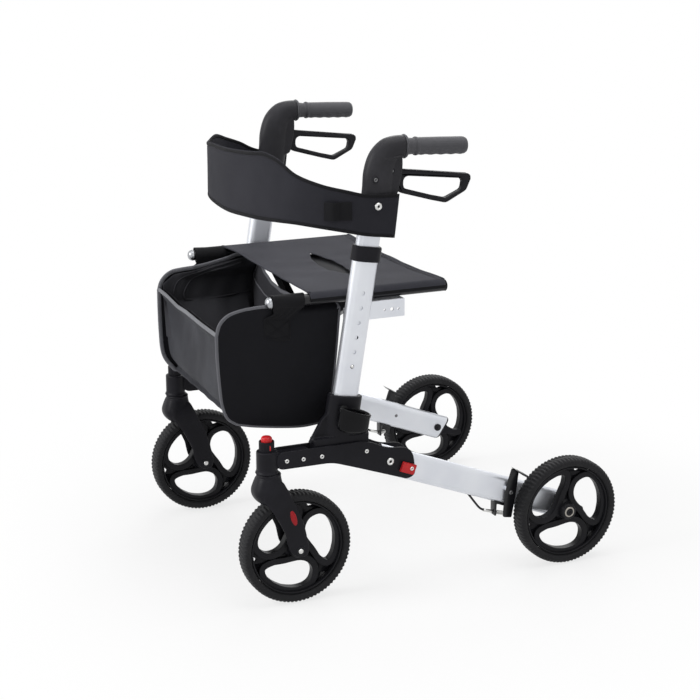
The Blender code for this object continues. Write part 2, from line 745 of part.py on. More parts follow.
# Posts with their row of height holes, collars and handle tubes

post = pipe(
    "post", post_at(POST_START), POST_HEADING, POST_END - POST_START,
    oval(POST_DEPTH, POST_WIDTH), oval(POST_DEPTH - 2 * POST_WALL, POST_WIDTH - 2 * POST_WALL), POST_X,
)
post = cut(post, *[
    rod("hole", HOLE_RADIUS, POST_X, POST_X + POST_WIDTH, post_at(HOLE_START + number * HOLE_PITCH), steps=10)
    for number in range(HOLE_COUNT)
])
pair(post, "post_tube", "frame", SILVER)

collar_depth = POST_DEPTH + 7 * MM
collar_width = POST_WIDTH + 7 * MM
collar_foot = POST_END - 21 * MM
collar_top = POST_END + 5 * MM
wide = oval(POST_DEPTH + 2 * SEAT_GAP, POST_WIDTH + 2 * SEAT_GAP)
narrow = oval(TUBE_DEPTH + 2 * SEAT_GAP, TUBE_WIDTH + 2 * SEAT_GAP)
shell = oval(collar_depth, collar_width)
collar = loft("collar", [
    ring(post_at(collar_foot), POST_HEADING, shell, POST_X),
    ring(post_at(collar_top - 2 * MM), POST_HEADING, shell, POST_X),
    ring(post_at(collar_top), POST_HEADING, oval(collar_depth - 3 * MM, collar_width - 3 * MM), POST_X),
    ring(post_at(collar_top), POST_HEADING, narrow, POST_X),
    ring(post_at(POST_END + SEAT_GAP), POST_HEADING, narrow, POST_X),
    ring(post_at(POST_END + SEAT_GAP), POST_HEADING, wide, POST_X),
    ring(post_at(collar_foot), POST_HEADING, wide, POST_X),
], closed=True)
pair(collar, "post_collar", "frame", BLACK_PLASTIC)

tube = pipe(
    "tube", post_at(TUBE_START), POST_HEADING, TUBE_END - TUBE_START,
    oval(TUBE_DEPTH, TUBE_WIDTH), oval(TUBE_DEPTH - 2 * POST_WALL, TUBE_WIDTH - 2 * POST_WALL), POST_X,
)
snap_at = post_at(HOLE_START)
tube = cut(tube, rod("hole", HOLE_RADIUS, POST_X, POST_X + POST_WIDTH, snap_at, steps=8))
pair(tube, "handle_tube", "handle", SILVER)
snap = turned(
    "snap",
    [
        (0, POST_WIDTH / 2 + 2 * MM), (1.8 * MM, POST_WIDTH / 2 + 1.6 * MM),
        (HOLE_RADIUS - SEAT_GAP, POST_WIDTH / 2),
        (HOLE_RADIUS - SEAT_GAP, TUBE_WIDTH / 2 - 4 * MM), (5 * MM, TUBE_WIDTH / 2 - 4 * MM),
        (5 * MM, TUBE_WIDTH / 2 - 5 * MM), (0, TUBE_WIDTH / 2 - 5 * MM),
    ],
    (POST_X, *snap_at), "X", 10,
)
pair(snap, "snap_button", "snap", BRIGHT_STEEL)

# Handle bodies: a moulded elbow from the tube up and back to the grip

STATIONS = (
    (-8, -95, 81, 25, 15.5), (-5.6, -60, 81, 26, 17), (0, -22, 81, 27, 18), (2, 4, 78, 27, 18),
    (8, 26, 58, 26, 18), (19, 41, 32, 23, 18), (32, 47, 10, 20, 18.5), (45, 48.2, -2.5, 19.2, 18.8),
)


def handle_ring(station):
    """An oval section of the elbow: place from its middle, heading, half depth and half width."""
    back, rise, heading, half_depth, half_width = station
    at = (ELBOW[0] + back * MM, ELBOW[1] + rise * MM)
    turn = np.linspace(0, 2 * math.pi, 16, endpoint=False)
    outline = [(half_depth * MM * math.cos(a), half_width * MM * math.sin(a)) for a in turn]
    return ring(at, math.radians(heading), outline, POST_X)


def from_pivot(y, z, radius):
    """A corner placed from the brake lever's pin, in millimetres."""
    return (LEVER_PIVOT[0] + y * MM, LEVER_PIVOT[1] + z * MM, radius * MM)


handle = loft("handle", [handle_ring(station) for station in STATIONS])
lug_outline = rounded([
    from_pivot(-6, -40, 0), from_pivot(12, -36, 5), from_pivot(20, -4, 8),
    from_pivot(20, 26, 4), from_pivot(-6, 24, 0),
])
handle = join(handle, slab("lug", lug_outline, POST_X - 13 * MM, POST_X + 13 * MM))
slot_half = LEVER_THICKNESS / 2 + 0.6 * MM
handle = cut(
    handle,
    box(
        "slot", (POST_X - slot_half, LEVER_PIVOT[0] - 11 * MM, LEVER_PIVOT[1] - 44 * MM),
        (POST_X + slot_half, LEVER_PIVOT[0] + 30 * MM, LEVER_PIVOT[1] + 12 * MM),
    ),
    bar(
        "tube bore", post_at(POST_END - 17 * MM), POST_HEADING, TUBE_END + SEAT_GAP - POST_END + 17 * MM,
        oval(TUBE_DEPTH + 2 * SEAT_GAP, TUBE_WIDTH + 2 * SEAT_GAP), POST_X,
    ),
)
core_radius = 8 * MM
grip_start = (GRIP_FRONT_Y, GRIP_HEIGHT)
handle = join(
    handle,
    rod("pin", 3 * MM, POST_X - slot_half - 1 * MM, POST_X + slot_half + 1 * MM, LEVER_PIVOT),
    bar(
        "core", along(grip_start, GRIP_SLOPE, -5 * MM), GRIP_SLOPE, GRIP_LENGTH - 15 * MM,
        circle(core_radius), POST_X,
    ),
)
pair(handle, "handle_body", "handle", BLACK_PLASTIC)

# Hand grips: a flange, a waist, a stop ring and a plain barrel, bored for the core

grip_stations = (
    (0.6, 20), (3, 21), (5, 19), (7, 14.5), (20, 13.6), (23, 15.8), (26, 15.8), (28, 14.6),
    (112, 15), (116.5, 14), (119, 11.5),
)
bore = core_radius + SEAT_GAP
bore_end = GRIP_LENGTH - 18 * MM


def grip_ring(distance, radius):
    return ring(along(grip_start, GRIP_SLOPE, distance), GRIP_SLOPE, circle(radius, 14), POST_X)


grip_rings = [grip_ring(0.6 * MM, bore)]
grip_rings += [
    grip_ring(distance * GRIP_LENGTH / 119, radius * GRIP_RADIUS / 15)
    for distance, radius in grip_stations
]
grip = loft("grip", grip_rings)
grip = cut(grip, bar(
    "bore", along(grip_start, GRIP_SLOPE, -5 * MM), GRIP_SLOPE, bore_end + 5 * MM, circle(bore), POST_X,
))
pair(grip, "hand_grip", "handle", GRIP_RUBBER)

# Brake levers: a closed finger loop hinged in the handle's slot

lever_outline = rounded([
    from_pivot(-8, 8, 7.5), from_pivot(30, 0.5, 20), from_pivot(130, -12, 0), from_pivot(156, -15, 7),
    from_pivot(144, -42, 10), from_pivot(106, -61, 12), from_pivot(78, -54, 20), from_pivot(22, -38, 6),
    from_pivot(3, -26, 8), from_pivot(-8, -8, 6),
], 2)
lever_gap = rounded([
    from_pivot(26, -9, 8), from_pivot(138, -21, 6), from_pivot(135, -40, 8),
    from_pivot(105, -53, 10), from_pivot(80, -47, 16), from_pivot(25, -31, 8),
], 2)
pin_hole = [
    (LEVER_PIVOT[0] + u, LEVER_PIVOT[1] + v) for u, v in circle(3 * MM + SEAT_GAP)
]
lever = slab(
    "lever", lever_outline, POST_X - LEVER_THICKNESS / 2, POST_X + LEVER_THICKNESS / 2,
    holes=(lever_gap, pin_hole), chamfer=1 * MM,
)
pair(lever, "brake_lever", "lever", BLACK_PLASTIC)

# Rear legs: flat oval tubes with a slanted cut at the wheel, hinged between the plates

leg_end = LEG_LENGTH + 13 * MM
slant = 0.22
leg_outer = oval(LEG_DEPTH, LEG_WIDTH)
leg_inner = oval(LEG_DEPTH - 4 * MM, LEG_WIDTH - 4 * MM)


def leg_ring(distance, outline, shear=0.0):
    """A section of the leg whose cut leans, so that its upper side is longer."""
    return [
        Vector((FRAME_X + v, *leg_at(distance + shear * u, u))) for u, v in outline
    ]


leg = loft("leg", [
    leg_ring(-19 * MM, leg_outer), leg_ring(leg_end, leg_outer, slant),
    leg_ring(leg_end, leg_inner, slant), leg_ring(-19 * MM, leg_inner),
], closed=True)
far = FRAME_X - 40 * MM
leg = cut(
    leg,
    rod("pivot hole", PIVOT_RADIUS + SEAT_GAP, far, FRAME_X + 40 * MM, LEG_PIVOT),
    rod("axle hole", AXLE_RADIUS + SEAT_GAP, far, FRAME_X + 40 * MM, (WHEEL_BASE, WHEEL_RADIUS)),
)
leg_face = FRAME_X + LEG_WIDTH / 2
leg = join(leg, rod("arm stud", 4 * MM, leg_face - 1.5 * MM, leg_face + 5 * MM, ARM_PIVOT))
pair(leg, "rear_leg", "rear_leg", SILVER)

axle = turned(
    "axle",
    [
        (0, REAR_WHEEL_X + rear_hub + 3 * MM), (8 * MM, REAR_WHEEL_X + rear_hub + 3 * MM),
        (8 * MM, REAR_WHEEL_X + rear_hub + 0.5 * MM), (AXLE_RADIUS, REAR_WHEEL_X + rear_hub + 0.5 * MM),
        (AXLE_RADIUS, FRAME_X - LEG_WIDTH / 2 - 0.4 * MM), (8 * MM, FRAME_X - LEG_WIDTH / 2 - 0.4 * MM),
        (8 * MM, FRAME_X - LEG_WIDTH / 2 - 5 * MM), (0, FRAME_X - LEG_WIDTH / 2 - 5 * MM),
    ],
    (0, WHEEL_BASE, WHEEL_RADIUS), "X", 12,
)
axle = join(axle, turned(
    "spacer",
    [
        (9 * MM, REAR_WHEEL_X - rear_hub - 0.4 * MM), (9 * MM, leg_face + 0.4 * MM),
        (4 * MM, leg_face + 0.4 * MM), (4 * MM, REAR_WHEEL_X - rear_hub - 0.4 * MM),
    ],
    (0, WHEEL_BASE, WHEEL_RADIUS), "X", 12, looped=True,
))
pair(axle, "rear_axle", "rear_leg", BRIGHT_STEEL)

plug_core = oval(LEG_DEPTH - 5 * MM, LEG_WIDTH - 5 * MM)
cap_start = leg_end + SEAT_GAP
plug = loft("plug", [
    leg_ring(cap_start, leg_outer, slant),
    leg_ring(cap_start + 4 * MM, oval(LEG_DEPTH - 4 * MM, LEG_WIDTH - 4 * MM), slant),
])
plug = join(
    plug,
    loft("core", [
        leg_ring(LEG_LENGTH + 6.5 * MM, plug_core, 0.1), leg_ring(cap_start + 1 * MM, plug_core, slant),
    ]),
)
tip_outline = rounded([
    (*leg_at(cap_start + reach * MM, offset * MM), radius * MM)
    for reach, offset, radius in (
        (2, 9, 0), (30, 3, 10), (44, 8, 4), (50, 0, 4), (44, -5, 4), (28, -6, 10), (2, -12, 0),
    )
])
plug = join(plug, slab("tip lever", tip_outline, FRAME_X - 6 * MM, FRAME_X + 6 * MM))
pair(plug, "leg_end_plug", "rear_leg", BLACK_PLASTIC)

# Rear brakes: a flat arm on a stud with a bent shoe, a bracket under the leg and the cable end


def from_arm(y, z, radius):
    """A corner placed from the arm's stud, in millimetres."""
    return (ARM_PIVOT[0] + y * MM, ARM_PIVOT[1] + z * MM, radius * MM)


arm_outline = rounded([
    from_arm(-17, -48, 4), from_arm(0, -49, 4), from_arm(13, -2, 12),
    from_arm(17, 37, 3), from_arm(3, 43, 4), from_arm(-11, 1, 12),
])
arm_hole = [(ARM_PIVOT[0] + u, ARM_PIVOT[1] + v) for u, v in circle(4 * MM + SEAT_GAP)]
arm_low = leg_face + 1.2 * MM
brake_arm = slab("brake arm", arm_outline, arm_low, arm_low + 3 * MM, holes=(arm_hole,))
shoe = rounded([
    from_arm(11, 41, 0), from_arm(16, 34.5, 0), from_arm(31.5, 23, 1.5), from_arm(33, 26, 1.5),
])
brake_arm = join(brake_arm, slab("shoe", shoe, arm_low, arm_low + 31 * MM))
pair(brake_arm, "brake_arm", "brake_arm", BLACK_STEEL)

bracket_top = -LEG_DEPTH / 2 - SEAT_GAP
bracket_outline = rounded([
    (*leg_at(190 * MM, bracket_top), 0),
    (*leg_at(190 * MM, bracket_top - 3 * MM), 0),
    (*leg_at(213 * MM, bracket_top - 3 * MM), 2 * MM),
    (*leg_at(213 * MM, bracket_top - 27 * MM), 3 * MM),
    (*leg_at(216.5 * MM, bracket_top - 27 * MM), 0),
    (*leg_at(216.5 * MM, bracket_top), 0),
])
bracket = slab("bracket", bracket_outline, FRAME_X - 8 * MM, FRAME_X + 8 * MM)
cable_line = bracket_top - 17 * MM
bracket = cut(bracket, bar("hole", leg_at(205 * MM, cable_line), LEG_HEADING, 20 * MM, circle(3.6 * MM), FRAME_X))
pair(bracket, "brake_bracket", "rear_leg", BLACK_STEEL)

CABLE_ROUTE = (
    (160, -2, 2.6), (162, -5.5, 2.6), (166, -9.5, 2.6), (173, -13.5, 2.6), (183, -16.4, 2.6), (193, -17, 2.6),
    (193.6, -17, 4.4), (203, -17, 4.4), (203.6, -17, 3), (220, -17, 3), (220.6, -17, 1.3), (240, -17, 1.3),
)
cable = bpy.data.curves.new("cable", "CURVE")
cable.dimensions = "3D"
cable.bevel_depth = 1 * MM
cable.bevel_resolution = 2
cable.use_fill_caps = True
run = cable.splines.new("POLY")
run.points.add(len(CABLE_ROUTE) - 1)
for place, (distance, drop, radius) in zip(run.points, CABLE_ROUTE):
    spot = leg_at(distance * MM, bracket_top + drop * MM)
    place.co = (FRAME_X, *spot, 1)
    place.radius = radius
cable_piece = bpy.data.objects.new("cable", cable)
walker.objects.link(cable_piece)
pair(settled(cable_piece), "brake_cable", "rear_leg", BLACK_STEEL)

# Latches: a red slide on the outer plate frees each rear leg

latch_low = plate_out + 0.4 * MM
latch_outline = rounded([
    (*leg_at(24 * MM, 8 * MM), 2 * MM), (*leg_at(52 * MM, 8 * MM), 2 * MM),
    (*leg_at(52 * MM, -11 * MM), 2 * MM), (*leg_at(24 * MM, -11 * MM), 2 * MM),
])
latch = slab("latch", latch_outline, latch_low, latch_low + 5 * MM, chamfer=0.8 * MM)
pair(latch, "latch", "latch", RED_PLASTIC)

# Seat rails, the brackets that they rest on, and the fold braces

dome = 1.5 * MM
rail = turned(
    "rail",
    [
        (0, RAIL_REAR + dome), (RAIL_RADIUS - 2 * MM, RAIL_REAR + dome), (RAIL_RADIUS, RAIL_REAR),
        (RAIL_RADIUS, RAIL_FRONT), (RAIL_RADIUS - 2 * MM, RAIL_FRONT - dome), (0, RAIL_FRONT - dome),
    ],
    (RAIL_X, 0, SEAT_HEIGHT), "Y", 16,
)
give(rail, "left_seat_rail", "brace_b", BLACK_STEEL)
right_rail = bpy.data.objects.new("right_seat_rail", rail.data)
walker.objects.link(right_rail)
right_rail.location = (-2 * RAIL_X, 0, 0)
right_rail.parent = bodies["brace_a"]
right_rail.matrix_parent_inverse = bodies["brace_a"].matrix_world.inverted()
nodes["right_seat_rail"] = right_rail

rest_top = SEAT_HEIGHT - RAIL_RADIUS - 1 * MM
rest_x = RAIL_X + RAIL_RADIUS + 5 * MM
rest_outline = [
    (rest_x, rest_top - 31 * MM), (rest_x + 3 * MM, rest_top - 31 * MM), (rest_x + 3 * MM, rest_top),
    (RAIL_X - 6 * MM, rest_top), (RAIL_X - 6 * MM, rest_top - 3 * MM), (rest_x, rest_top - 3 * MM),
]
lip_front = BRACE_Y + BRACE_PITCH + BRACE_THICKNESS / 2 + 5 * MM
rest_rear = 218 * MM
rest = slab("rest", rest_outline, lip_front, rest_rear, FRONT_PLANE)
post_face = POST_X - POST_WIDTH / 2
post_mid = post_at(SEAT_HEIGHT - 28 * MM)[0]
rest = join(
    rest,
    box(
        "arm", (rest_x, post_mid - 14 * MM, rest_top - 31 * MM),
        (rest_x + 3 * MM, lip_front + 2 * MM, rest_top - 6 * MM),
    ),
    box(
        "foot", (rest_x + 1 * MM, post_mid - 14 * MM, rest_top - 31 * MM),
        (post_face - SEAT_GAP, post_mid + 14 * MM, rest_top - 6 * MM),
    ),
)
rest = cut(rest, *[
    rod("hole", radius, rest_x - 5 * MM, rest_x + 10 * MM, (rest_rear - inset, rest_top - 17 * MM), steps=8)
    for inset, radius in ((12 * MM, 2 * MM), (24 * MM, 3.5 * MM), (38 * MM, 2 * MM))
])
pair(rest, "seat_bracket", "frame", SILVER)


def brace(name, foot_x, rail_x, middle_y):
    """A flat bar from a lug's pin up to the opposite rail, coped to sit against the rail."""
    foot = Vector((foot_x, LUG_Z))
    head = Vector((rail_x, SEAT_HEIGHT))
    direction = (head - foot).normalized()
    normal = Vector((-direction.y, direction.x)) * BRACE_WIDTH / 2
    radius = BRACE_WIDTH / 2 * 0.96
    back = direction * BRACE_WIDTH / 2
    corners = [foot - back + normal, foot - back - normal]
    outline = rounded([
        (*corners[0], radius), (*corners[1], radius), (*(head - normal), 0), (*(head + normal), 0),
    ], 5)
    pin = [(foot.x + u, foot.y + v) for u, v in circle(4 * MM + SEAT_GAP)]
    middle = [(u, BRACE_CENTRE_Z + v) for u, v in circle(5 * MM + SEAT_GAP)]
    low = middle_y - BRACE_THICKNESS / 2
    high = middle_y + BRACE_THICKNESS / 2
    piece = slab(name, outline, low, high, FRONT_PLANE, (pin, middle))
    return cut(piece, rod("cope", RAIL_RADIUS + SEAT_GAP, low - 5 * MM, high + 5 * MM, head, "Y", 16))


give(brace("brace_a", LUG_X, -RAIL_X, BRACE_Y), "brace_a", "brace_a", BLACK_STEEL)
give(brace("brace_b", -LUG_X, RAIL_X, BRACE_Y + BRACE_PITCH), "brace_b", "brace_b", BLACK_STEEL)
pivot_front = BRACE_Y - BRACE_THICKNESS / 2 - 0.5 * MM
pivot_rear = BRACE_Y + BRACE_PITCH + BRACE_THICKNESS / 2 + 0.5 * MM
pivot = turned(
    "pivot",
    [
        (0, pivot_rear + 3 * MM), (8 * MM, pivot_rear + 3 * MM), (8 * MM, pivot_rear), (5 * MM, pivot_rear),
        (5 * MM, pivot_front), (8 * MM, pivot_front), (8 * MM, pivot_front - 3 * MM), (0, pivot_front - 3 * MM),
    ],
    (0, 0, BRACE_CENTRE_Z), "Y", 12,
)
give(pivot, "brace_pivot", "brace_b", BRIGHT_STEEL)

# Seat cloth: one sheet over both rails with a hand slot to pull the frame shut


def cloth_profile(offset):
    """Half of the sheet's section, from below a rail's outer side over its top to the middle."""
    radius = RAIL_RADIUS + 0.5 * MM + offset
    turn = np.linspace(math.radians(-30), math.radians(90), 7)
    arc = [(RAIL_X + radius * math.cos(a), SEAT_HEIGHT + radius * math.sin(a)) for a in turn]
    sag = 6 * MM
    spread = np.linspace(1, 0, 6)[1:]
    flat = [
        (RAIL_X * share, SEAT_HEIGHT + radius - sag * (1 - share**2) ** 2) for share in spread
    ]
    return arc + flat


outer_line = cloth_profile(CLOTH)
inner_line = cloth_profile(0)
half = outer_line + [(-x, z) for x, z in reversed(outer_line[:-1])]
under = inner_line + [(-x, z) for x, z in reversed(inner_line[:-1])]
seat = slab("seat", half + under[::-1], SEAT_FRONT, SEAT_REAR, FRONT_PLANE)
slot_outline = rounded([
    (-46 * MM, 140 * MM, 15 * MM), (62 * MM, 140 * MM, 15 * MM),
    (62 * MM, 178 * MM, 15 * MM), (-46 * MM, 178 * MM, 15 * MM),
])
slot_rings = [
    [Vector((x, y, SEAT_HEIGHT + height)) for x, y in slot_outline] for height in (-15 * MM, 30 * MM)
]
seat = cut(seat, loft("slot", slot_rings))
give(seat, "seat_fabric", "seat_cloth", CLOTH_BLACK)

# Bag: a tapered open-topped sack hung from the rails' front ends by two loops a side


def bag_ring(half_x, front, rear, height, inset=0.0):
    """A rounded rectangle whose front runs back towards the right, with points along each edge."""
    corner = 26 * MM
    corners = rounded([
        (half_x - inset, front + inset, corner), (half_x - inset, rear - inset, corner),
        (-half_x + inset, rear - inset, corner), (-half_x + inset, front + BAG_SKEW + inset, corner),
    ])
    outline = []
    for number, here in enumerate(corners):
        after = corners[(number + 1) % len(corners)]
        parts = {3: 2, 7: 6, 11: 2, 15: 6}.get(number, 1)
        outline += [Vector(here).lerp(Vector(after), part / parts) for part in range(parts)]
    return [Vector((*point, height)) for point in outline]


def hemmed(point, front, rear):
    """Shape the top ring: the front edge is lower and dips, and the rear edge sags forwards."""
    across = point.x / BAG_HALF
    local_front = front + BAG_SKEW * (1 - across) / 2
    frontness = min(1.0, max(0.0, (local_front + 30 * MM - point.y) / (25 * MM)))
    rearness = min(1.0, max(0.0, (point.y - rear + 30 * MM) / (25 * MM)))
    dip = math.exp(-(((across + 0.45) / 0.3) ** 2))
    slack = 1 - across**2
    pull = rearness * slack * 36 * MM
    drop = frontness * (30 + 20 * dip) * MM + rearness * slack * 17 * MM
    return Vector((point.x, point.y - pull, point.z - drop))


levels = (
    (BAG_HALF - 12 * MM, BAG_FRONT + 20 * MM, BAG_REAR - 20 * MM, BAG_BOTTOM),
    (BAG_HALF - 4 * MM, BAG_FRONT, BAG_REAR - 12 * MM, BAG_BOTTOM + 28 * MM),
    (BAG_HALF + 1 * MM, BAG_FRONT - 8 * MM, BAG_REAR - 4 * MM, BAG_BOTTOM + 120 * MM),
    (BAG_HALF, BAG_FRONT - 4 * MM, BAG_REAR, BAG_TOP),
)
outer_rings = [bag_ring(*level) for level in levels]
inner_rings = [bag_ring(*level, inset=BAG_WALL) for level in levels]
for rings in (outer_rings, inner_rings):
    rings[-1] = [hemmed(point, levels[-1][1], levels[-1][2]) for point in rings[-1]]
inner_rings[0] = [point + Vector((0, 0, BAG_WALL)) for point in inner_rings[0]]
bag = loft("bag", outer_rings + inner_rings[::-1])


def hanger(front):
    """A webbing loop over a rail that runs down the bag's side."""
    radius_in = RAIL_RADIUS + 0.6 * MM
    radius_out = radius_in + CLOTH
    turn = np.linspace(0, math.pi, 9)
    outer = [(RAIL_X + radius_out * math.cos(a), SEAT_HEIGHT + radius_out * math.sin(a)) for a in turn]
    inner = [(RAIL_X + radius_in * math.cos(a), SEAT_HEIGHT + radius_in * math.sin(a)) for a in turn]
    foot = BAG_TOP - 40 * MM
    outline = [
        (BAG_HALF - 1 * MM, foot), (BAG_HALF + 3 * MM, foot), (RAIL_X + radius_out, SEAT_HEIGHT - 18 * MM),
        *outer, *inner[::-1], (RAIL_X + radius_in, SEAT_HEIGHT - 16 * MM),
    ]
    return slab("hanger", outline, front, front + LOOP_WIDTH, FRONT_PLANE)


def mirrored(piece):
    piece.data.transform(Matrix.Scale(-1, 4, (1, 0, 0)))
    piece.data.flip_normals()
    return piece


hanger_front = RAIL_FRONT + 8 * MM
bag = join(bag, hanger(hanger_front), mirrored(hanger(hanger_front)))
give(bag, "bag", "seat_cloth", CLOTH_BLACK)

# Backrest: a padded band from one handle round the front to the other

band = 3.6 * MM
BAND_END_X = 260.2
BAND_PLAN = (
    (BAND_END_X, 24, -149, -74), (BAND_END_X, -26, -145, -71), (256, -64, -138, -62), (241, -102, -131, -51),
    (212, -135, -128, -36), (180, -152, -128, -25), (140, -164, -129, -19), (90, -173, -130, -19),
    (0, -179, -131, -22),
)


def band_rings():
    """Rectangular sections round the band's plan curve: y is from the elbow, heights are from the grip."""
    stations = [
        (x, ELBOW[0] / MM + y, GRIP_HEIGHT / MM + low, GRIP_HEIGHT / MM + high)
        for x, y, low, high in BAND_PLAN
    ]
    stations += [(-x, *rest) for x, *rest in stations[-2::-1]]
    rings = []
    for i, (x, y, low, high) in enumerate(stations):
        before = Vector(stations[max(i - 1, 0)][:2])
        after = Vector(stations[min(i + 1, len(stations) - 1)][:2])
        direction = (after - before).normalized()
        normal = Vector((-direction.y, direction.x)) * band / 2
        if abs(x) == BAND_END_X:
            normal = Vector((math.copysign(band / 2, normal.x), 0))
        rings.append([
            Vector((x * MM + normal.x, y * MM + normal.y, low * MM)),
            Vector((x * MM + normal.x, y * MM + normal.y, high * MM)),
            Vector((x * MM - normal.x, y * MM - normal.y, high * MM)),
            Vector((x * MM - normal.x, y * MM - normal.y, low * MM)),
        ])
    return rings


give(loft("backrest", band_rings()), "backrest", "left_handle", CLOTH_BLACK)

bodies["walker"].location.y = -MIDDLE_Y
print(len(nodes), "pieces; the origin lies", round(MIDDLE_Y / MM, 2), "mm behind the front axle")
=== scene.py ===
# %% [markdown]
# A folding walker, dressed for its picture.
#
# The walker's real shapes come from its CAD model, which is loaded first and never moved. This file
# gives each piece its finish and makes what a CAD solid shows badly: treaded tyres, moulded wheels,
# rubber grips, woven cloth, bound edges and stitching. Lengths are written in millimetres, with Y
# counted rearwards from the front axle, because that is how the walker was measured.

# %% Load the frame
import json
import math

import bmesh
import bpy
import numpy as np
from mathutils import Matrix, Vector

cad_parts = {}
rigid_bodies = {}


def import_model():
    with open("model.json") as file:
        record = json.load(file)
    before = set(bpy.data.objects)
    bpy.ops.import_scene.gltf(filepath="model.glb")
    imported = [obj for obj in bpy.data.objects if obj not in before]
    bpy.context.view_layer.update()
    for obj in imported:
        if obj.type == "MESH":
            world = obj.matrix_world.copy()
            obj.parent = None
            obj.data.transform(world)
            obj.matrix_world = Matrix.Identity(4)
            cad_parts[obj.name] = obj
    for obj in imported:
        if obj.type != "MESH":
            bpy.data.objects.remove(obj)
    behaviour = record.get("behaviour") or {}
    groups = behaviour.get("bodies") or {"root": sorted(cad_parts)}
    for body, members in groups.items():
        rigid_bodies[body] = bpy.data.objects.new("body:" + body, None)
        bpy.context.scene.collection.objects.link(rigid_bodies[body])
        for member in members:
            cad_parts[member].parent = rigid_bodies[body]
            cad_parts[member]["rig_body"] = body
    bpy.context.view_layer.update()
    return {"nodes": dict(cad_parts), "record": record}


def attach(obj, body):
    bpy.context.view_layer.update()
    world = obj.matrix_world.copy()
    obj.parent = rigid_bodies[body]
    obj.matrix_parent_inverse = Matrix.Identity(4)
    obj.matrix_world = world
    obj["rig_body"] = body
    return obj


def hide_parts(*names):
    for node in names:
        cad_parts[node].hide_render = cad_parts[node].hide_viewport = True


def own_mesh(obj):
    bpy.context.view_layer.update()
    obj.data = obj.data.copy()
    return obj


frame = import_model()
nodes = frame["nodes"]

MM = 0.001
AXLE_Y = -251.5
SIDES = (("left", 1), ("right", -1))
print(len(nodes), "CAD pieces loaded")

# %% [markdown]
# The picture was taken from the walker's left and a little in front, from a little above the handles.
# A long lens keeps the wheels nearly the same size. The camera's place was worked out from the four
# wheels, so the render can be laid over the picture.

# %% Camera
CAMERA_AT = (2.79975, -1.27265, 1.22422)
YAW, PITCH = math.radians(66.228), math.radians(15.734)
aim = Vector((-math.sin(YAW) * math.cos(PITCH), math.cos(YAW) * math.cos(PITCH), -math.sin(PITCH)))
camera_data = bpy.data.cameras.new("camera")
camera_data.lens = 88.157
camera_data.sensor_width = 36
camera_data.clip_end = 200
camera = bpy.data.objects.new("camera", camera_data)
bpy.context.scene.collection.objects.link(camera)
camera.location = CAMERA_AT
camera.rotation_euler = aim.to_track_quat("-Z", "Y").to_euler()
bpy.context.scene.camera = camera

# %% [markdown]
# Shader nodes are easier to read as sums. A small class holds one output socket, and adding or
# multiplying two of them puts the Math node in place.


# %% Shader arithmetic
class Wire:
    """One shader output. Arithmetic on wires adds Math nodes; ``node`` adds any other kind."""

    def __init__(self, tree, socket):
        self.tree = tree
        self.socket = socket

    def node(self, kind, settings=None, output=0, **inputs):
        return add_node(self.tree, kind, settings, output, **inputs)

    def math(self, operation, *others):
        made = self.tree.nodes.new("ShaderNodeMath")
        made.operation = operation
        for place, value in zip(made.inputs, (self, *others)):
            if isinstance(value, Wire):
                self.tree.links.new(value.socket, place)
            else:
                place.default_value = value
        return Wire(self.tree, made.outputs[0])

    def __add__(self, other):
        return self.math("ADD", other)

    def __sub__(self, other):
        return self.math("SUBTRACT", other)

    def __rsub__(self, other):
        return (self * -1) + other

    def __mul__(self, other):
        return self.math("MULTIPLY", other)

    __radd__ = __add__
    __rmul__ = __mul__

    def between(self, low, high):
        """0 below ``low`` and 1 above ``high``, with a smooth step between them."""
        return self.node(
            "ShaderNodeMapRange", {"interpolation_type": "SMOOTHSTEP"}, Value=self,
            **{"From Min": low, "From Max": high},
        )


def add_node(tree, kind, settings=None, output=0, **inputs):
    """Add a node, set its settings first, then its inputs as values or wires."""
    made = tree.nodes.new(kind)
    for key, value in (settings or {}).items():
        setattr(made, key, value)
    for key, value in inputs.items():
        place = made.inputs[int(key[1:])] if key[0] == "_" else made.inputs[key]
        if isinstance(value, Wire):
            tree.links.new(value.socket, place)
        else:
            place.default_value = value
    return Wire(tree, made.outputs[output])


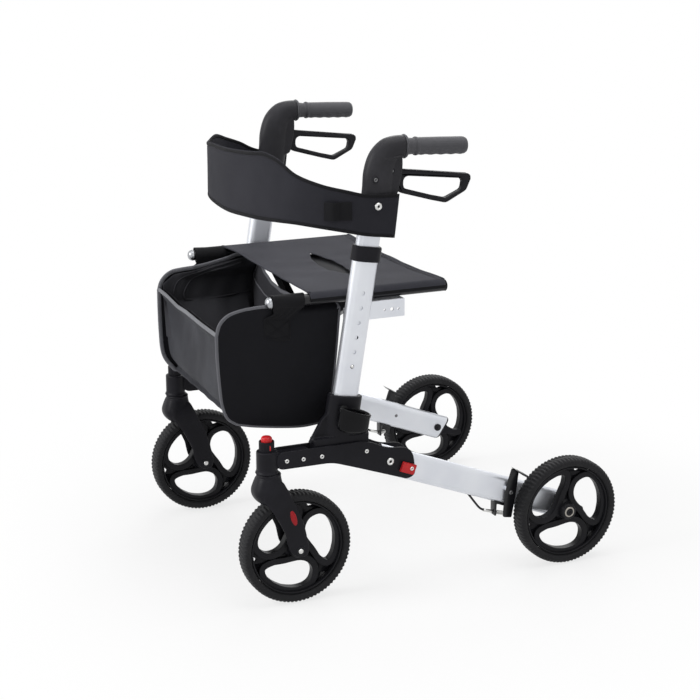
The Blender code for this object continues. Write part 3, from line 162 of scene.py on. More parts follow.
class Paint:
    """A material under construction: its Principled shader, its coordinates and its bump."""

    def __init__(self, name, colour, roughness, metallic=0.0, coat=0.0, sheen=0.0, gloss=0.5):
        self.material = bpy.data.materials.new(name)
        self.material.use_nodes = True
        self.tree = self.material.node_tree
        self.shader = self.tree.nodes["Principled BSDF"]
        self.set("Base Color", (*colour, 1))
        self.set("Roughness", roughness)
        self.set("Metallic", metallic)
        self.set("Coat Weight", coat)
        self.set("Coat Roughness", 0.12)
        self.set("Sheen Weight", sheen)
        self.set("Sheen Roughness", 0.4)
        self.set("Specular IOR Level", gloss)
        self.colour = colour

    def set(self, socket, value):
        place = self.shader.inputs[socket]
        if isinstance(value, Wire):
            self.tree.links.new(value.socket, place)
        else:
            place.default_value = value

    def where(self, kind="Object"):
        """The point on the piece, in metres, or the piece's own UV map."""
        made = self.tree.nodes.new("ShaderNodeTexCoord")
        return Wire(self.tree, made.outputs[kind])

    def axes(self, kind="Object"):
        parts = self.tree.nodes.new("ShaderNodeSeparateXYZ")
        self.tree.links.new(self.where(kind).socket, parts.inputs[0])
        return [Wire(self.tree, output) for output in parts.outputs]

    def noise(self, scale, detail=3.0, roughness=0.55, stretch=(1, 1, 1), kind="Object"):
        """Soft noise from 0 to 1; ``scale`` counts its lumps per metre."""
        spot = add_node(self.tree, "ShaderNodeMapping", _0=self.where(kind), Scale=stretch)
        return add_node(
            self.tree, "ShaderNodeTexNoise", Vector=spot, Scale=scale, Detail=detail, Roughness=roughness
        )

    def bump(self, height, strength, distance):
        """Tilt the surface by a height wire; ``distance`` is the relief in metres."""
        self.set("Normal", add_node(
            self.tree, "ShaderNodeBump", Height=height, Strength=strength, Distance=distance
        ))

    def tint(self, mask, other, base=None):
        """Blend the base colour towards another by a mask wire."""
        return add_node(
            self.tree, "ShaderNodeMix", {"data_type": "RGBA"}, 2,
            _0=mask, _6=base or (*self.colour, 1), _7=(*other, 1),
        )

# %% [markdown]
# The aluminium tubes are anodised: a satin silver with fine drawn streaks along the tube and slight
# cloudiness. A metal with a middling roughness gives the broad soft highlight, and a noise that is
# squeezed across the tube gives the drawing marks.


# %% Silver tubes
def silver_paint():
    paint = Paint("satin anodised aluminium", (0.74, 0.76, 0.80), 0.36, metallic=0.72)
    streaks = paint.noise(90, 4, 0.6, stretch=(7, 7, 0.35))
    clouds = paint.noise(14, 2)
    paint.set("Roughness", streaks * 0.10 + clouds * 0.08 + 0.27)
    paint.set("Base Color", paint.tint(clouds.between(0.35, 0.75), (0.68, 0.70, 0.75)))
    paint.bump(streaks, 0.12, 0.0002)
    return paint.material


SILVER = silver_paint()

# %% [markdown]
# Most black pieces are moulded nylon with a fine spark-eroded grain. Close up the grain is a bump of
# about half a millimetre, and handling polishes it unevenly, so its roughness wanders a little.


# %% Moulded black plastic
def plastic_paint(name, colour, roughness, grain, relief):
    """Moulded plastic: ``grain`` counts its pits per metre, ``relief`` is their depth in metres."""
    paint = Paint(name, colour, roughness, gloss=0.13)
    pits = paint.noise(grain, 2, 0.5)
    wear = paint.noise(24, 3)
    paint.set("Roughness", wear * 0.16 + (roughness - 0.08))
    lighter = tuple(channel * 1.4 for channel in colour)
    paint.set("Base Color", paint.tint(wear.between(0.4, 0.8), lighter))
    paint.bump(pits, 0.35, relief)
    return paint.material


NYLON = plastic_paint("grained black nylon", (0.0085, 0.0083, 0.0110), 0.44, 1500, 0.00012)
WHEEL_NYLON = plastic_paint("satin black wheel nylon", (0.0090, 0.0090, 0.0110), 0.36, 900, 0.00006)
CUP_NYLON = plastic_paint("polished black cup", (0.0040, 0.0040, 0.0050), 0.20, 600, 0.00003)
HANDLE_NYLON = plastic_paint("soft black handle nylon", (0.0300, 0.0296, 0.0335), 0.46, 1400, 0.00011)
LEVER_NYLON = plastic_paint("smooth black nylon", (0.0150, 0.0150, 0.0180), 0.34, 700, 0.00004)

# %% [markdown]
# Tyre rubber is a dull near-black that holds a little dust in its pores. The grips are a softer and
# slightly lighter rubber.


# %% Rubbers
def rubber_paint(name, colour, dust, roughness):
    paint = Paint(name, colour, roughness, sheen=0.05, gloss=0.18)
    pores = paint.noise(1100, 3)
    patches = paint.noise(40, 4)
    paint.set("Base Color", paint.tint(patches.between(0.45, 0.8) * 0.6, dust))
    paint.set("Roughness", patches * 0.14 + (roughness - 0.07))
    paint.bump(pores, 0.4, 0.00010)
    return paint.material


TYRE_RUBBER = rubber_paint("matt tyre rubber", (0.0120, 0.0120, 0.0135), (0.024, 0.024, 0.025), 0.62)
GRIP_RUBBER = rubber_paint("soft grip rubber", (0.086, 0.086, 0.094), (0.105, 0.105, 0.114), 0.55)

# %% [markdown]
# The rails and braces are steel with a glossy black powder coat, which has a faint orange peel. The
# small fastenings are zinc plated, and the release buttons are clear red plastic with a hard shine.


# %% Coated steel, bright steel and red plastic
def coated_paint():
    paint = Paint("gloss black powder coat", (0.008, 0.008, 0.010), 0.30, coat=0.15, gloss=0.30)
    peel = paint.noise(420, 2)
    paint.set("Roughness", peel * 0.10 + 0.26)
    paint.bump(peel, 0.25, 0.00010)
    return paint.material


def steel_paint(name, colour, darker):
    paint = Paint(name, colour, 0.30, metallic=1.0)
    swirl = paint.noise(300, 4, 0.6)
    paint.set("Roughness", swirl * 0.22 + 0.20)
    paint.set("Base Color", paint.tint(swirl.between(0.5, 0.8), darker))
    return paint.material


def red_paint(name, colour, lighter):
    paint = Paint(name, colour, 0.28, gloss=0.25)
    flow = paint.noise(60, 2)
    paint.set("Base Color", paint.tint(flow.between(0.3, 0.8), lighter))
    paint.set("Roughness", flow * 0.10 + 0.24)
    return paint.material


POWDER_COAT = coated_paint()
BRIGHT = steel_paint("zinc plated steel", (0.62, 0.62, 0.61), (0.46, 0.45, 0.43))
GREY_STEEL = steel_paint("blackened steel", (0.16, 0.16, 0.165), (0.09, 0.09, 0.09))
BEARING = steel_paint("worn bearing steel", (0.34, 0.32, 0.29), (0.22, 0.20, 0.18))
CAP_METAL = steel_paint("dull rail cap", (0.40, 0.41, 0.43), (0.30, 0.30, 0.31))
RED = red_paint("glossy red plastic", (0.56, 0.016, 0.022), (0.66, 0.03, 0.03))
REFLECTOR = red_paint("deep red reflector", (0.40, 0.004, 0.010), (0.30, 0.002, 0.006))

# %% [markdown]
# Cloth is woven, so its pattern has to follow each panel rather than the room. Every cloth piece
# carries a UV map in metres, and the weave is two sets of threads that pass over and under each
# other: the product of two waves, one per direction, drives a bump and a slight change of colour.


# %% Woven cloth
def cloth_paint(name, colour, thread_light, pitch, relief, roughness=0.78, ribbed=False):
    """A plain weave: ``pitch`` is the distance between threads and ``relief`` their height, in metres."""
    paint = Paint(name, colour, roughness, sheen=0.03, gloss=0.10)
    across, along, _ = paint.axes("UV")
    turns = math.pi / pitch
    warp = (across * turns).math("SINE")
    weft = (along * turns).math("SINE")
    if ribbed:
        threads = weft.math("ABSOLUTE")
    else:
        over = (warp * weft).between(-0.25, 0.25)
        threads = over * warp.math("ABSOLUTE") + (1 - over) * weft.math("ABSOLUTE")
    fade = paint.noise(9, 4, 0.6)
    slub = paint.noise(260, 3)
    mask = threads * 0.5 + fade.between(0.3, 0.8) * 0.35 + slub * 0.15
    paint.set("Base Color", paint.tint(mask, thread_light))
    paint.set("Roughness", slub * 0.12 + (roughness - 0.06))
    paint.bump(threads + slub * 0.4, 0.55, relief)
    return paint.material


SEAT_CLOTH = cloth_paint("coated seat cloth", (0.030, 0.030, 0.037), (0.066, 0.067, 0.080), 0.0009, 0.00018)
LINER_CLOTH = cloth_paint("grey lining cloth", (0.030, 0.030, 0.034), (0.050, 0.050, 0.057), 0.0010, 0.00014, 0.70)
BAG_CLOTH = cloth_paint("black bag cloth", (0.0045, 0.0045, 0.0060), (0.0100, 0.0102, 0.0130), 0.0008, 0.00016, 0.62)
BAND_CLOTH = cloth_paint("black band cloth", (0.016, 0.016, 0.020), (0.036, 0.036, 0.044), 0.0007, 0.00014)
MESH_CLOTH = cloth_paint("open bag mesh", (0.008, 0.008, 0.010), (0.075, 0.077, 0.088), 0.0019, 0.0004)
WEBBING = cloth_paint("black webbing", (0.006, 0.006, 0.007), (0.016, 0.016, 0.018), 0.0012, 0.0003, ribbed=True)
BINDING = cloth_paint("grey edge binding", (0.105, 0.106, 0.118), (0.19, 0.192, 0.21), 0.0011, 0.0003, ribbed=True)
# A lighter copy of the grey binding: a painted highlight for the lit top edge of the bag's mesh.
HIGHLIT_BINDING = cloth_paint("pale edge binding", (0.15, 0.152, 0.165), (0.26, 0.264, 0.28), 0.0011, 0.0003, ribbed=True)

# %% [markdown]
# Every new surface here is a grid of points: a shape worked out as a function of two numbers, all at
# once with numpy. One helper turns such a grid into a mesh, closes it where it should meet itself,
# and writes a UV map in metres so that cloth patterns keep their size.


# %% Grids into meshes
made_pieces = []


def face_grid(rows, columns, wrap_rows, wrap_columns):
    """Corner numbers of every quad of a grid, and the row and column steps of each corner."""
    i, j = np.meshgrid(
        np.arange(rows if wrap_rows else rows - 1), np.arange(columns if wrap_columns else columns - 1),
        indexing="ij",
    )
    i, j = i.ravel(), j.ravel()
    row = np.stack([i, i, i + 1, i + 1], 1)
    column = np.stack([j, j + 1, j + 1, j], 1)
    return (row % rows) * columns + column % columns, row, column


def lengths_along(grid, axis):
    """The mean running length of a grid's rows or columns, with one step past the end for a wrap."""
    step = np.linalg.norm(np.diff(grid, axis=axis), axis=2).mean(axis=1 - axis)
    total = np.concatenate([[0], np.cumsum(step)])
    return np.append(total, total[-1] + step[-1])


def grid_mesh(name, grid, wrap_rows=False, wrap_columns=True, caps=True, flip=False, weld=False):
    """A mesh over a grid of points in millimetres; open ends get a fan to their middle point.

    ``weld`` joins points that coincide, as a grid's first ring does where it shrinks to one point.
    """
    grid = np.asarray(grid, float) * MM
    grid = grid + np.array([0, AXLE_Y * MM, 0])
    rows, columns = grid.shape[:2]
    corners, row, column = face_grid(rows, columns, wrap_rows, wrap_columns)
    points = grid.reshape(-1, 3)
    run_rows, run_columns = lengths_along(grid, 0), lengths_along(grid, 1)
    uv = np.stack([run_columns[column], run_rows[row]], 2)
    faces = corners.tolist()
    extra = []
    if caps and wrap_columns and not wrap_rows:
        for end, first in ((0, True), (rows - 1, False)):
            ring = np.arange(columns) + end * columns
            hub = len(points) + len(extra)
            extra.append(grid[end].mean(axis=0))
            after = np.roll(ring, -1)
            fan = np.stack([ring, np.full(columns, hub), after] if first else [ring, after, np.full(columns, hub)], 1)
            faces += fan.tolist()
    if extra:
        points = np.vstack([points, extra])
    data = bpy.data.meshes.new(name)
    data.from_pydata(points.tolist(), [], faces)
    layer = data.uv_layers.new(name="UVMap")
    flat = np.zeros((len(data.loops), 2))
    flat[: uv.size // 2] = uv.reshape(-1, 2)
    layer.data.foreach_set("uv", flat.ravel())
    data.validate()
    if weld:
        welded(data)
    if flip:
        data.flip_normals()
    data.shade_smooth()
    return data


def welded(data, reach=2e-5):
    """Join a mesh's points that lie within ``reach`` metres of each other."""
    work = bmesh.new()
    work.from_mesh(data)
    bmesh.ops.remove_doubles(work, verts=work.verts, dist=reach)
    work.to_mesh(data)
    work.free()
    data.shade_smooth()
    return data


def put(name, data, material):
    """Link a mesh as a piece at the origin, with its material."""
    piece = bpy.data.objects.new(name, data)
    bpy.context.scene.collection.objects.link(piece)
    data.materials.clear()
    data.materials.append(material)
    made_pieces.append(piece)
    return piece


def fuse(name, *meshes):
    """Several meshes as one, with their UV maps kept."""
    work = bmesh.new()
    for data in meshes:
        work.from_mesh(data)
    made = bpy.data.meshes.new(name)
    work.to_mesh(made)
    work.free()
    made.shade_smooth()
    return made


def mirrored(data, name):
    """A mesh's mirror image across the walker's middle, turned right side out again."""
    made = data.copy()
    made.name = name
    made.transform(Matrix.Scale(-1, 4, (1, 0, 0)))
    made.flip_normals()
    return made


def both_sides(name, data, material, body, replaces=None, shift=None):
    """Put a left piece and its right twin on their bodies; ``shift`` moves the twin instead of mirroring."""
    pieces = []
    for side, sign in SIDES:
        if sign == 1:
            mesh = data
        elif shift is None:
            mesh = mirrored(data, "right_" + name)
        else:
            mesh = data.copy()
            mesh.transform(Matrix.Translation((-shift * MM, 0, 0)))
        piece = put(f"{side}_{name}", mesh, material)
        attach(piece, f"{side}_{body}")
        if replaces:
            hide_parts(f"{side}_{replaces}")
        pieces.append(piece)
    return pieces

# %% [markdown]
# Three ways of making a grid cover nearly everything: a profile turned about an axle, a section
# carried along a path, and a smooth curve through measured points.


# %% Shape functions
def turned(profile, centre, axis="X", steps=64, ripple=None):
    """A closed or open profile (radius, height) turned about an axis through ``centre``.

    The point at turn t and profile place p is centre + height(p) along the axis plus radius(p, t)
    across it; ``ripple`` may change the radius with the turn.
    """
    profile = np.asarray(profile, float)
    turn = np.linspace(0, 2 * math.pi, steps, endpoint=False)
    radius = np.repeat(profile[None, :, 0], steps, 0)
    height = np.repeat(profile[None, :, 1], steps, 0)
    if ripple is not None:
        radius = radius + ripple(turn[:, None], height, radius)
    a, b = radius * np.cos(turn)[:, None], radius * np.sin(turn)[:, None]
    order = {"X": (height, a, b), "Y": (b, height, a), "Z": (a, b, height)}[axis]
    return np.stack(order, 2) + np.asarray(centre, float)


def turned_mesh(name, profile, centre, axis="X", steps=64, ripple=None, closed=False):
    """A turned mesh. A closed profile makes a ring; an open one starts and ends on the axis."""
    grid = turned(profile, centre, axis, steps, ripple)
    if closed:
        return grid_mesh(name, grid, wrap_rows=True, wrap_columns=True)
    data = grid_mesh(name, grid, wrap_rows=True, wrap_columns=False)
    work = bmesh.new()
    work.from_mesh(data)
    bmesh.ops.remove_doubles(work, verts=work.verts, dist=1e-6)
    work.to_mesh(data)
    work.free()
    data.shade_smooth()
    return data


def smooth_curve(points, steps=12, closed=False):
    """A Catmull-Rom curve through points: each stretch is a cubic whose ends share their slopes."""
    points = np.asarray(points, float)
    if closed:
        ring = np.vstack([points[-1:], points, points[:2]])
    else:
        ring = np.vstack([2 * points[:1] - points[1:2], points, 2 * points[-1:] - points[-2:-1]])
    a, b, c, d = ring[:-3], ring[1:-2], ring[2:-1], ring[3:]
    t = np.linspace(0, 1, steps, endpoint=False)[None, :, None]
    a, b, c, d = (item[:, None, :] for item in (a, b, c, d))
    curve = 0.5 * (2 * b + (c - a) * t + (2 * a - 5 * b + 4 * c - d) * t**2 + (3 * b - a - 3 * c + d) * t**3)
    curve = curve.reshape(-1, points.shape[1])
    return curve if closed else np.vstack([curve, points[-1:]])


def evenly(points, count, closed=False):
    """The same curve, sampled at equal distances along it."""
    points = np.asarray(points, float)
    if closed:
        points = np.vstack([points, points[:1]])
    run = np.concatenate([[0], np.cumsum(np.linalg.norm(np.diff(points, axis=0), axis=1))])
    spots = np.linspace(0, run[-1], count + 1 if closed else count)
    made = np.stack([np.interp(spots, run, points[:, k]) for k in range(points.shape[1])], 1)
    return made[:-1] if closed else made


def rounded_box(half_a, half_b, power=4.0, count=24):
    """A superellipse: |a / half_a|^power + |b / half_b|^power = 1, sampled round its angle."""
    turn = np.linspace(0, 2 * math.pi, count, endpoint=False)
    c, s = np.cos(turn), np.sin(turn)
    return np.stack([
        half_a * np.sign(c) * np.abs(c) ** (2 / power), half_b * np.sign(s) * np.abs(s) ** (2 / power)
    ], 1)


def carried(path, section, up=(0, 0, 1), closed=False, scale=None):
    """A section (a, b) carried along a path: a is laid across the path and b along ``up``."""
    path = np.asarray(path, float)
    if closed:
        ahead = np.roll(path, -1, 0) - np.roll(path, 1, 0)
    else:
        ahead = np.gradient(path, axis=0)
    ahead /= np.linalg.norm(ahead, axis=1, keepdims=True)
    up = np.broadcast_to(np.asarray(up, float), path.shape)
    side = np.cross(ahead, up)
    side /= np.linalg.norm(side, axis=1, keepdims=True)
    rise = np.cross(side, ahead)
    section = np.asarray(section, float)
    section = np.broadcast_to(section, (len(path), *section.shape[-2:]))
    if scale is not None:
        section = section * np.asarray(scale, float).reshape(len(path), 1, -1)
    return path[:, None, :] + side[:, None, :] * section[:, :, :1] + rise[:, None, :] * section[:, :, 1:]

# %% [markdown]
# The CAD solids are exact but their edges are perfectly sharp and their curves are faceted. For the
# hard pieces it is enough to take a copy, join its loose triangles, melt the flat ones into whole
# faces, and round every edge a little, as any moulding or cut tube has.


# %% Rounded copies of CAD pieces
def dressed(node, material, width=0.8, segments=2, angle=32):
    """A copy of a CAD node with joined faces, smooth curves and edges rounded by ``width`` mm."""
    data = nodes[node].data.copy()
    work = bmesh.new()
    work.from_mesh(data)
    bmesh.ops.remove_doubles(work, verts=work.verts, dist=2e-6)
    bmesh.ops.dissolve_limit(work, angle_limit=math.radians(1.0), verts=work.verts, edges=work.edges)
    work.to_mesh(data)
    work.free()
    data.shade_smooth()
    piece = put(node + "_finished", data, material)
    bevel = piece.modifiers.new("rounded edges", "BEVEL")
    bevel.width = width * MM
    bevel.segments = segments
    bevel.limit_method = "ANGLE"
    bevel.angle_limit = math.radians(angle)
    bevel.use_clamp_overlap = False
    weighted = piece.modifiers.new("flat faces", "WEIGHTED_NORMAL")
    weighted.keep_sharp = True
    body = next(name for name, members in frame["record"]["behaviour"]["bodies"].items() if node in members)
    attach(piece, body)
    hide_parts(node)
    return piece


DRESSED = (
    ("post_tube", SILVER, 0.35, 2), ("handle_tube", SILVER, 0.35, 2), ("post_collar", NYLON, 0.8, 2),
    ("brake_lever", LEVER_NYLON, 2.0, 3), ("rear_leg", SILVER, 0.35, 2), ("leg_end_plug", NYLON, 1.0, 2),
    ("latch", RED, 0.8, 2),
    ("seat_bracket", SILVER, 0.4, 2),
)
for piece_name, paint_used, edge, steps in DRESSED:
    for side_name, _ in SIDES:
        dressed(f"{side_name}_{piece_name}", paint_used, edge, steps)
for piece_name in ("brace_a", "brace_b", "left_seat_rail", "right_seat_rail"):
    dressed(piece_name, POWDER_COAT, 0.8, 3)
dressed("brace_pivot", BRIGHT, 0.6)
for side_name, _ in SIDES:
    dressed(f"{side_name}_snap_button", BRIGHT, 0.4)
print(len(made_pieces), "hard pieces dressed")

# %% [markdown]
# The tyres are solid rubber with a ribbed tread. Across its width the tyre is a rounded box, and
# round the wheel the ribs cut into its shoulders: the depth is a steep wave of the turn angle, masked
# so that the side walls stay smooth, and staggered from one side of the middle groove to the other.

# %% Tyres
WHEEL_RADIUS = 100
RIM_RADIUS = 84
TYRE_HALF = 17.25
RIBS = 84
front_centre = (246, 0, WHEEL_RADIUS)
rear_centre = (280.55, 515, WHEEL_RADIUS)


def tread(turn, height, radius):
    """Minus 1.6 mm times a steep wave of the turn, on the tread and its shoulders only."""
    stagger = np.where(height > 0, 0.0, math.pi)
    wave = 0.5 + 0.5 * np.tanh(3.0 * np.cos(RIBS * turn + stagger))
    outward = np.clip((radius - 90) / 4, 0, 1)
    off_middle = np.clip((np.abs(height) - 0.8) / 0.8, 0, 1)
    middle_groove = -0.7 * np.exp(-((height / 1.0) ** 4)) * outward
    return -1.6 * wave * outward * off_middle + middle_groove


def tyre_mesh(name, centre):
    section = rounded_box(8.0, TYRE_HALF, 3.4, 40)
    profile = np.stack([section[:, 0] + 91.9, section[:, 1]], 1)
    return turned_mesh(name, profile[::-1], centre, "X", RIBS * 8, tread, closed=True)


both_sides("front_tyre_tread", tyre_mesh("left_front_tyre", front_centre), TYRE_RUBBER,
           "front_wheel", "caster_tyre", shift=2 * 246)
both_sides("rear_tyre_tread", tyre_mesh("left_rear_tyre", rear_centre), TYRE_RUBBER,
           "rear_wheel", "rear_tyre", shift=2 * 280.55)

# %% [markdown]
# Each wheel is one nylon moulding with three comma-shaped gaps. A broad flat band runs round each gap,
# and the dark channels between neighbouring bands read as swirled spokes. One gap was measured on the
# picture as radius and angle about the hub, and the other two are the same line turned by a third. The
# band is a rounded section carried round that line, the web between the bands is a flat curve with
# holes, and the hub and the rim are turned.

# %% Wheel gaps
GAP_POLAR = np.array((
    (73, 10), (73.4, 20), (74, 30), (73.5, 41), (70.3, 50), (63.4, 57), (54, 63), (43, 64.5), (33.1, 59.5),
    (26.7, 46), (25.2, 28), (26.6, 14.4), (28.8, 4.5), (31.8, -3.5), (35.5, -10.7), (41, -18.8), (51.5, -27.7),
    (66.4, -30), (70.8, -20), (71.4, -10), (72, -2.5),
), float)
BAND = 11.6
WEB_HALF = 1.9


def around_hub(polar):
    """Points (radius, angle in degrees) as y and z about the hub."""
    angle = np.radians(polar[:, 1])
    return polar[:, :1] * np.stack([np.cos(angle), np.sin(angle)], 1)


def turn_plane(points, angle):
    c, s = math.cos(angle), math.sin(angle)
    return points @ np.array([[c, s], [-s, c]])


def outward_normals(line):
    """Unit normals that point out of a closed plane curve."""
    ahead = np.roll(line, -1, 0) - np.roll(line, 1, 0)
    normal = np.stack([ahead[:, 1], -ahead[:, 0]], 1)
    normal /= np.linalg.norm(normal, axis=1, keepdims=True)
    outside = ((line - line.mean(0)) * normal).sum()
    return normal * np.sign(outside)


gap_line = evenly(smooth_curve(around_hub(GAP_POLAR), 12, closed=True), 150, closed=True)
print("gap outline:", round(float(np.ptp(gap_line[:, 0]))), "by", round(float(np.ptp(gap_line[:, 1]))), "mm")


# %% [markdown]
# The rear wheels were caught 5 degrees further round than the front ones. Small three-cornered holes
# pierce the web where two bands part near the rim.

# %% Wheels
def band_mesh(name, centre, angle, half):
    """A bar with rounded edges laid round one gap: point = line + normal (BAND / 2 + a), depth = b."""
    line = turn_plane(gap_line, angle)
    normal = outward_normals(line)
    section = rounded_box(BAND / 2, half, 9.0, 40)
    reach = line[:, None, :] + normal[:, None, :] * (section[None, :, :1] + BAND / 2)
    depth = np.broadcast_to(section[None, :, 1], reach.shape[:2])
    grid = np.stack([depth, reach[:, :, 0], reach[:, :, 1]], 2) + np.asarray(centre, float)
    return grid_mesh(name, grid, wrap_rows=True, wrap_columns=True)


def flat_mesh(name, outlines, half, plane_at, bevel=0.0):
    """A flat curve with holes, filled, extruded by ``half`` each way and stood in the side plane."""
    flat = bpy.data.curves.new(name, "CURVE")
    flat.dimensions = "2D"
    flat.fill_mode = "BOTH"
    flat.extrude = (half - bevel) * MM
    flat.bevel_depth = bevel * MM
    flat.offset = -bevel * MM
    flat.bevel_resolution = 2
    for number, line in enumerate(outlines):
        line = np.asarray(line, float)
        area = (line[:, 0] * np.roll(line[:, 1], -1) - line[:, 1] * np.roll(line[:, 0], -1)).sum()
        line = line[::-1] if (area > 0) != (number == 0) else line
        spline = flat.splines.new("POLY")
        spline.points.add(len(line) - 1)
        spline.points.foreach_set("co", np.column_stack([line * MM, np.zeros(len(line)), np.ones(len(line))]).ravel())
        spline.use_cyclic_u = True
    holder = bpy.data.objects.new(name, flat)
    bpy.context.scene.collection.objects.link(holder)
    bpy.context.view_layer.update()
    data = bpy.data.meshes.new_from_object(holder.evaluated_get(bpy.context.evaluated_depsgraph_get()))
    bpy.data.objects.remove(holder, do_unlink=True)
    x, y, z = plane_at
    stand = Matrix(((0, 0, 1, x * MM), (1, 0, 0, (y + AXLE_Y) * MM), (0, 1, 0, z * MM), (0, 0, 0, 1)))
    data.transform(stand)
    welded(data, 1e-6)
    return data


def web_mesh(name, centre, phase):
    """The thin plate: a disc without the hub, the three gaps and the three small corner holes."""
    turn = np.linspace(0, 2 * math.pi, 144, endpoint=False)
    rim_circle = 82.0 * np.stack([np.cos(turn), np.sin(turn)], 1)
    hub_circle = 12.0 * np.stack([np.cos(turn[::4]), np.sin(turn[::4])], 1)
    outlines = [rim_circle, hub_circle]
    inside = gap_line + outward_normals(gap_line) * BAND * 0.45
    corner = around_hub(np.array(((79.4, 63.5), (79.6, 69.0), (79.4, 75.0), (73.5, 70.0)), float))
    for number in range(3):
        angle = phase + number * 2 * math.pi / 3
        outlines += [turn_plane(inside[::2], angle), turn_plane(corner, angle)]
    return flat_mesh(name, outlines, WEB_HALF, centre)


def wheel_mesh(name, centre, hub_half, phase):
    """Rim channel, hub, three bands and the web, all in one piece."""
    rim = [
        (83.7, 12.2), (83.0, 12.6), (81.2, 12.6), (80.4, 11.6), (79.8, 6.0), (79.8, -6.0), (80.4, -11.6),
        (81.2, -12.6), (83.0, -12.6), (83.7, -12.2),
    ]
    hub = [
        (5.4, hub_half), (13.6, hub_half), (14.6, hub_half - 1), (16.4, 9.2), (17.4, 7.0), (20.5, 4.6), (22.5, 3.2),
        (22.5, -3.2), (20.5, -4.6), (17.4, -7.0), (16.4, -9.2), (14.6, 1 - hub_half), (13.6, -hub_half), (5.4, -hub_half),
    ]
    parts = [
        turned_mesh(name, rim[::-1], centre, "X", 180, closed=True),
        turned_mesh(name, hub[::-1], centre, "X", 96, closed=True),
        web_mesh(name, centre, phase),
    ]
    parts += [band_mesh(name, centre, phase + number * 2 * math.pi / 3, 8.2) for number in range(3)]
    return fuse(name, *parts)


REAR_PHASE = math.radians(5)
both_sides("front_wheel_moulding", wheel_mesh("left_front_wheel", front_centre, 18.9, 0.0), WHEEL_NYLON,
           "front_wheel", "caster_wheel", shift=2 * 246)
both_sides("rear_wheel_moulding", wheel_mesh("left_rear_wheel", rear_centre, 17.25, REAR_PHASE), WHEEL_NYLON,
           "rear_wheel", "rear_wheel", shift=2 * 280.55)

# %% [markdown]
# The front forks and the handle elbows are soft mouldings: a bulb or a bent horn that flows into flat
# arms. Their forms are lofted from measured stations, each station a rounded box whose middle and half
# sizes are interpolated along the piece. The overlapping lofts are then fused by a fine voxel remesh,
# whose smoothing rounds the joins as a mould's fillets do.

# %% Soft mouldings
def moulded(name, meshes, voxel, passes, cutters=()):
    """Overlapping closed meshes as one skin, with its joins smoothed and then cut by other meshes."""
    piece = put(name, fuse(name, *meshes), NYLON)
    remesh = piece.modifiers.new("one skin", "REMESH")
    remesh.mode = "VOXEL"
    remesh.voxel_size = voxel * MM
    soft = piece.modifiers.new("fillets", "SMOOTH")
    soft.factor = 0.5
    soft.iterations = passes
    tools = []
    for number, cutter_mesh in enumerate(cutters):
        tool = bpy.data.objects.new(f"cutter_{number}", cutter_mesh)
        bpy.context.scene.collection.objects.link(tool)
        change = piece.modifiers.new(f"cut {number}", "BOOLEAN")
        change.object = tool
        change.solver = "EXACT"
        tools.append(tool)
    bpy.context.view_layer.update()
    data = bpy.data.meshes.new_from_object(piece.evaluated_get(bpy.context.evaluated_depsgraph_get()))
    for tool in [piece, *tools]:
        bpy.data.objects.remove(tool, do_unlink=True)
    made_pieces.pop()
    data.shade_smooth()
    data.set_sharp_from_angle(angle=math.radians(50))
    return data


def block(name, low, high):
    """A box between two corners in millimetres, used only to cut with."""
    low, high = np.array(low, float), np.array(high, float)
    signs = np.array([[x, y, z] for x in (0, 1) for y in (0, 1) for z in (0, 1)])
    points = (low + (high - low) * signs + np.array([0, AXLE_Y, 0])) * MM
    faces = [(0, 1, 3, 2), (4, 6, 7, 5), (0, 4, 5, 1), (2, 3, 7, 6), (0, 2, 6, 4), (1, 5, 7, 3)]
    data = bpy.data.meshes.new(name)
    data.from_pydata(points.tolist(), [], faces)
    return data


def level_loft(name, stations, power, count=48, steps=10):
    """Level sections (z, x, y_front, y_rear, half width) from one end to the other, smoothly between."""
    rows = smooth_curve(stations, steps)
    z, x, front_y, rear_y, half = rows.T
    section = rounded_box(1, 1, power, count)
    grid = np.stack([
        x[:, None] + half[:, None] * section[None, :, 0],
        (front_y + rear_y)[:, None] / 2 + (rear_y - front_y)[:, None] / 2 * section[None, :, 1],
        np.repeat(z[:, None], count, 1),
    ], 2)
    return grid_mesh(name, grid)


# %% [markdown]
# A fork's two arms stand outside the wheel and lean back to the axle; their head is a bulb with two
# thin rings under the barrel. The bulb overhangs in front, and an arch is cut out of it for the tyre.

# %% Forks
ARM = 23.6
ARM_EDGES = (
    (87.4, 2, 5, 2.0), (88.6, -4, 11, 3.0), (91, -8.5, 14.5, 3.6), (97, -15, 16.6, 3.8), (106, -20.5, 17, 3.85),
    (121, -24, 13.5, 3.85), (134, -27, 11, 3.85), (157, -38, 4.5, 3.9), (178, -50, -4, 4.0), (190, -59, -10, 4.3),
    (200, -64, -14.5, 4.4),
)
ARM_TOPS = ((208, -65, -18, 22.8, 4.6), (216, -65, -22, 21.0, 4.6), (224, -62, -26, 18.4, 4.0), (230, -57, -32, 15.5, 3.0))
HEAD = (
    (188, -58, -22, 23), (190, -65, -17, 26.2), (195, -71.0, -15.5, 27.6), (203, -75.0, -17, 27.9),
    (211, -75.6, -20.5, 26.8), (219, -73.4, -23.5, 24.8), (227, -70.4, -25.4, 22.6), (232, -68, -26.5, 20.8),
    (233.5, -65.5, -28, 19.6),
)
fork_parts = [
    level_loft(
        "arm",
        [(z, 246 + side * ARM, front_y, rear_y, half) for z, front_y, rear_y, half in ARM_EDGES]
        + [(z, 246 + side * reach, front_y, rear_y, half) for z, front_y, rear_y, reach, half in ARM_TOPS],
        3.2,
    )
    for side in (-1, 1)
]
fork_parts.append(level_loft("head", [(z, 246, front_y, rear_y, half) for z, front_y, rear_y, half in HEAD], 2.7))
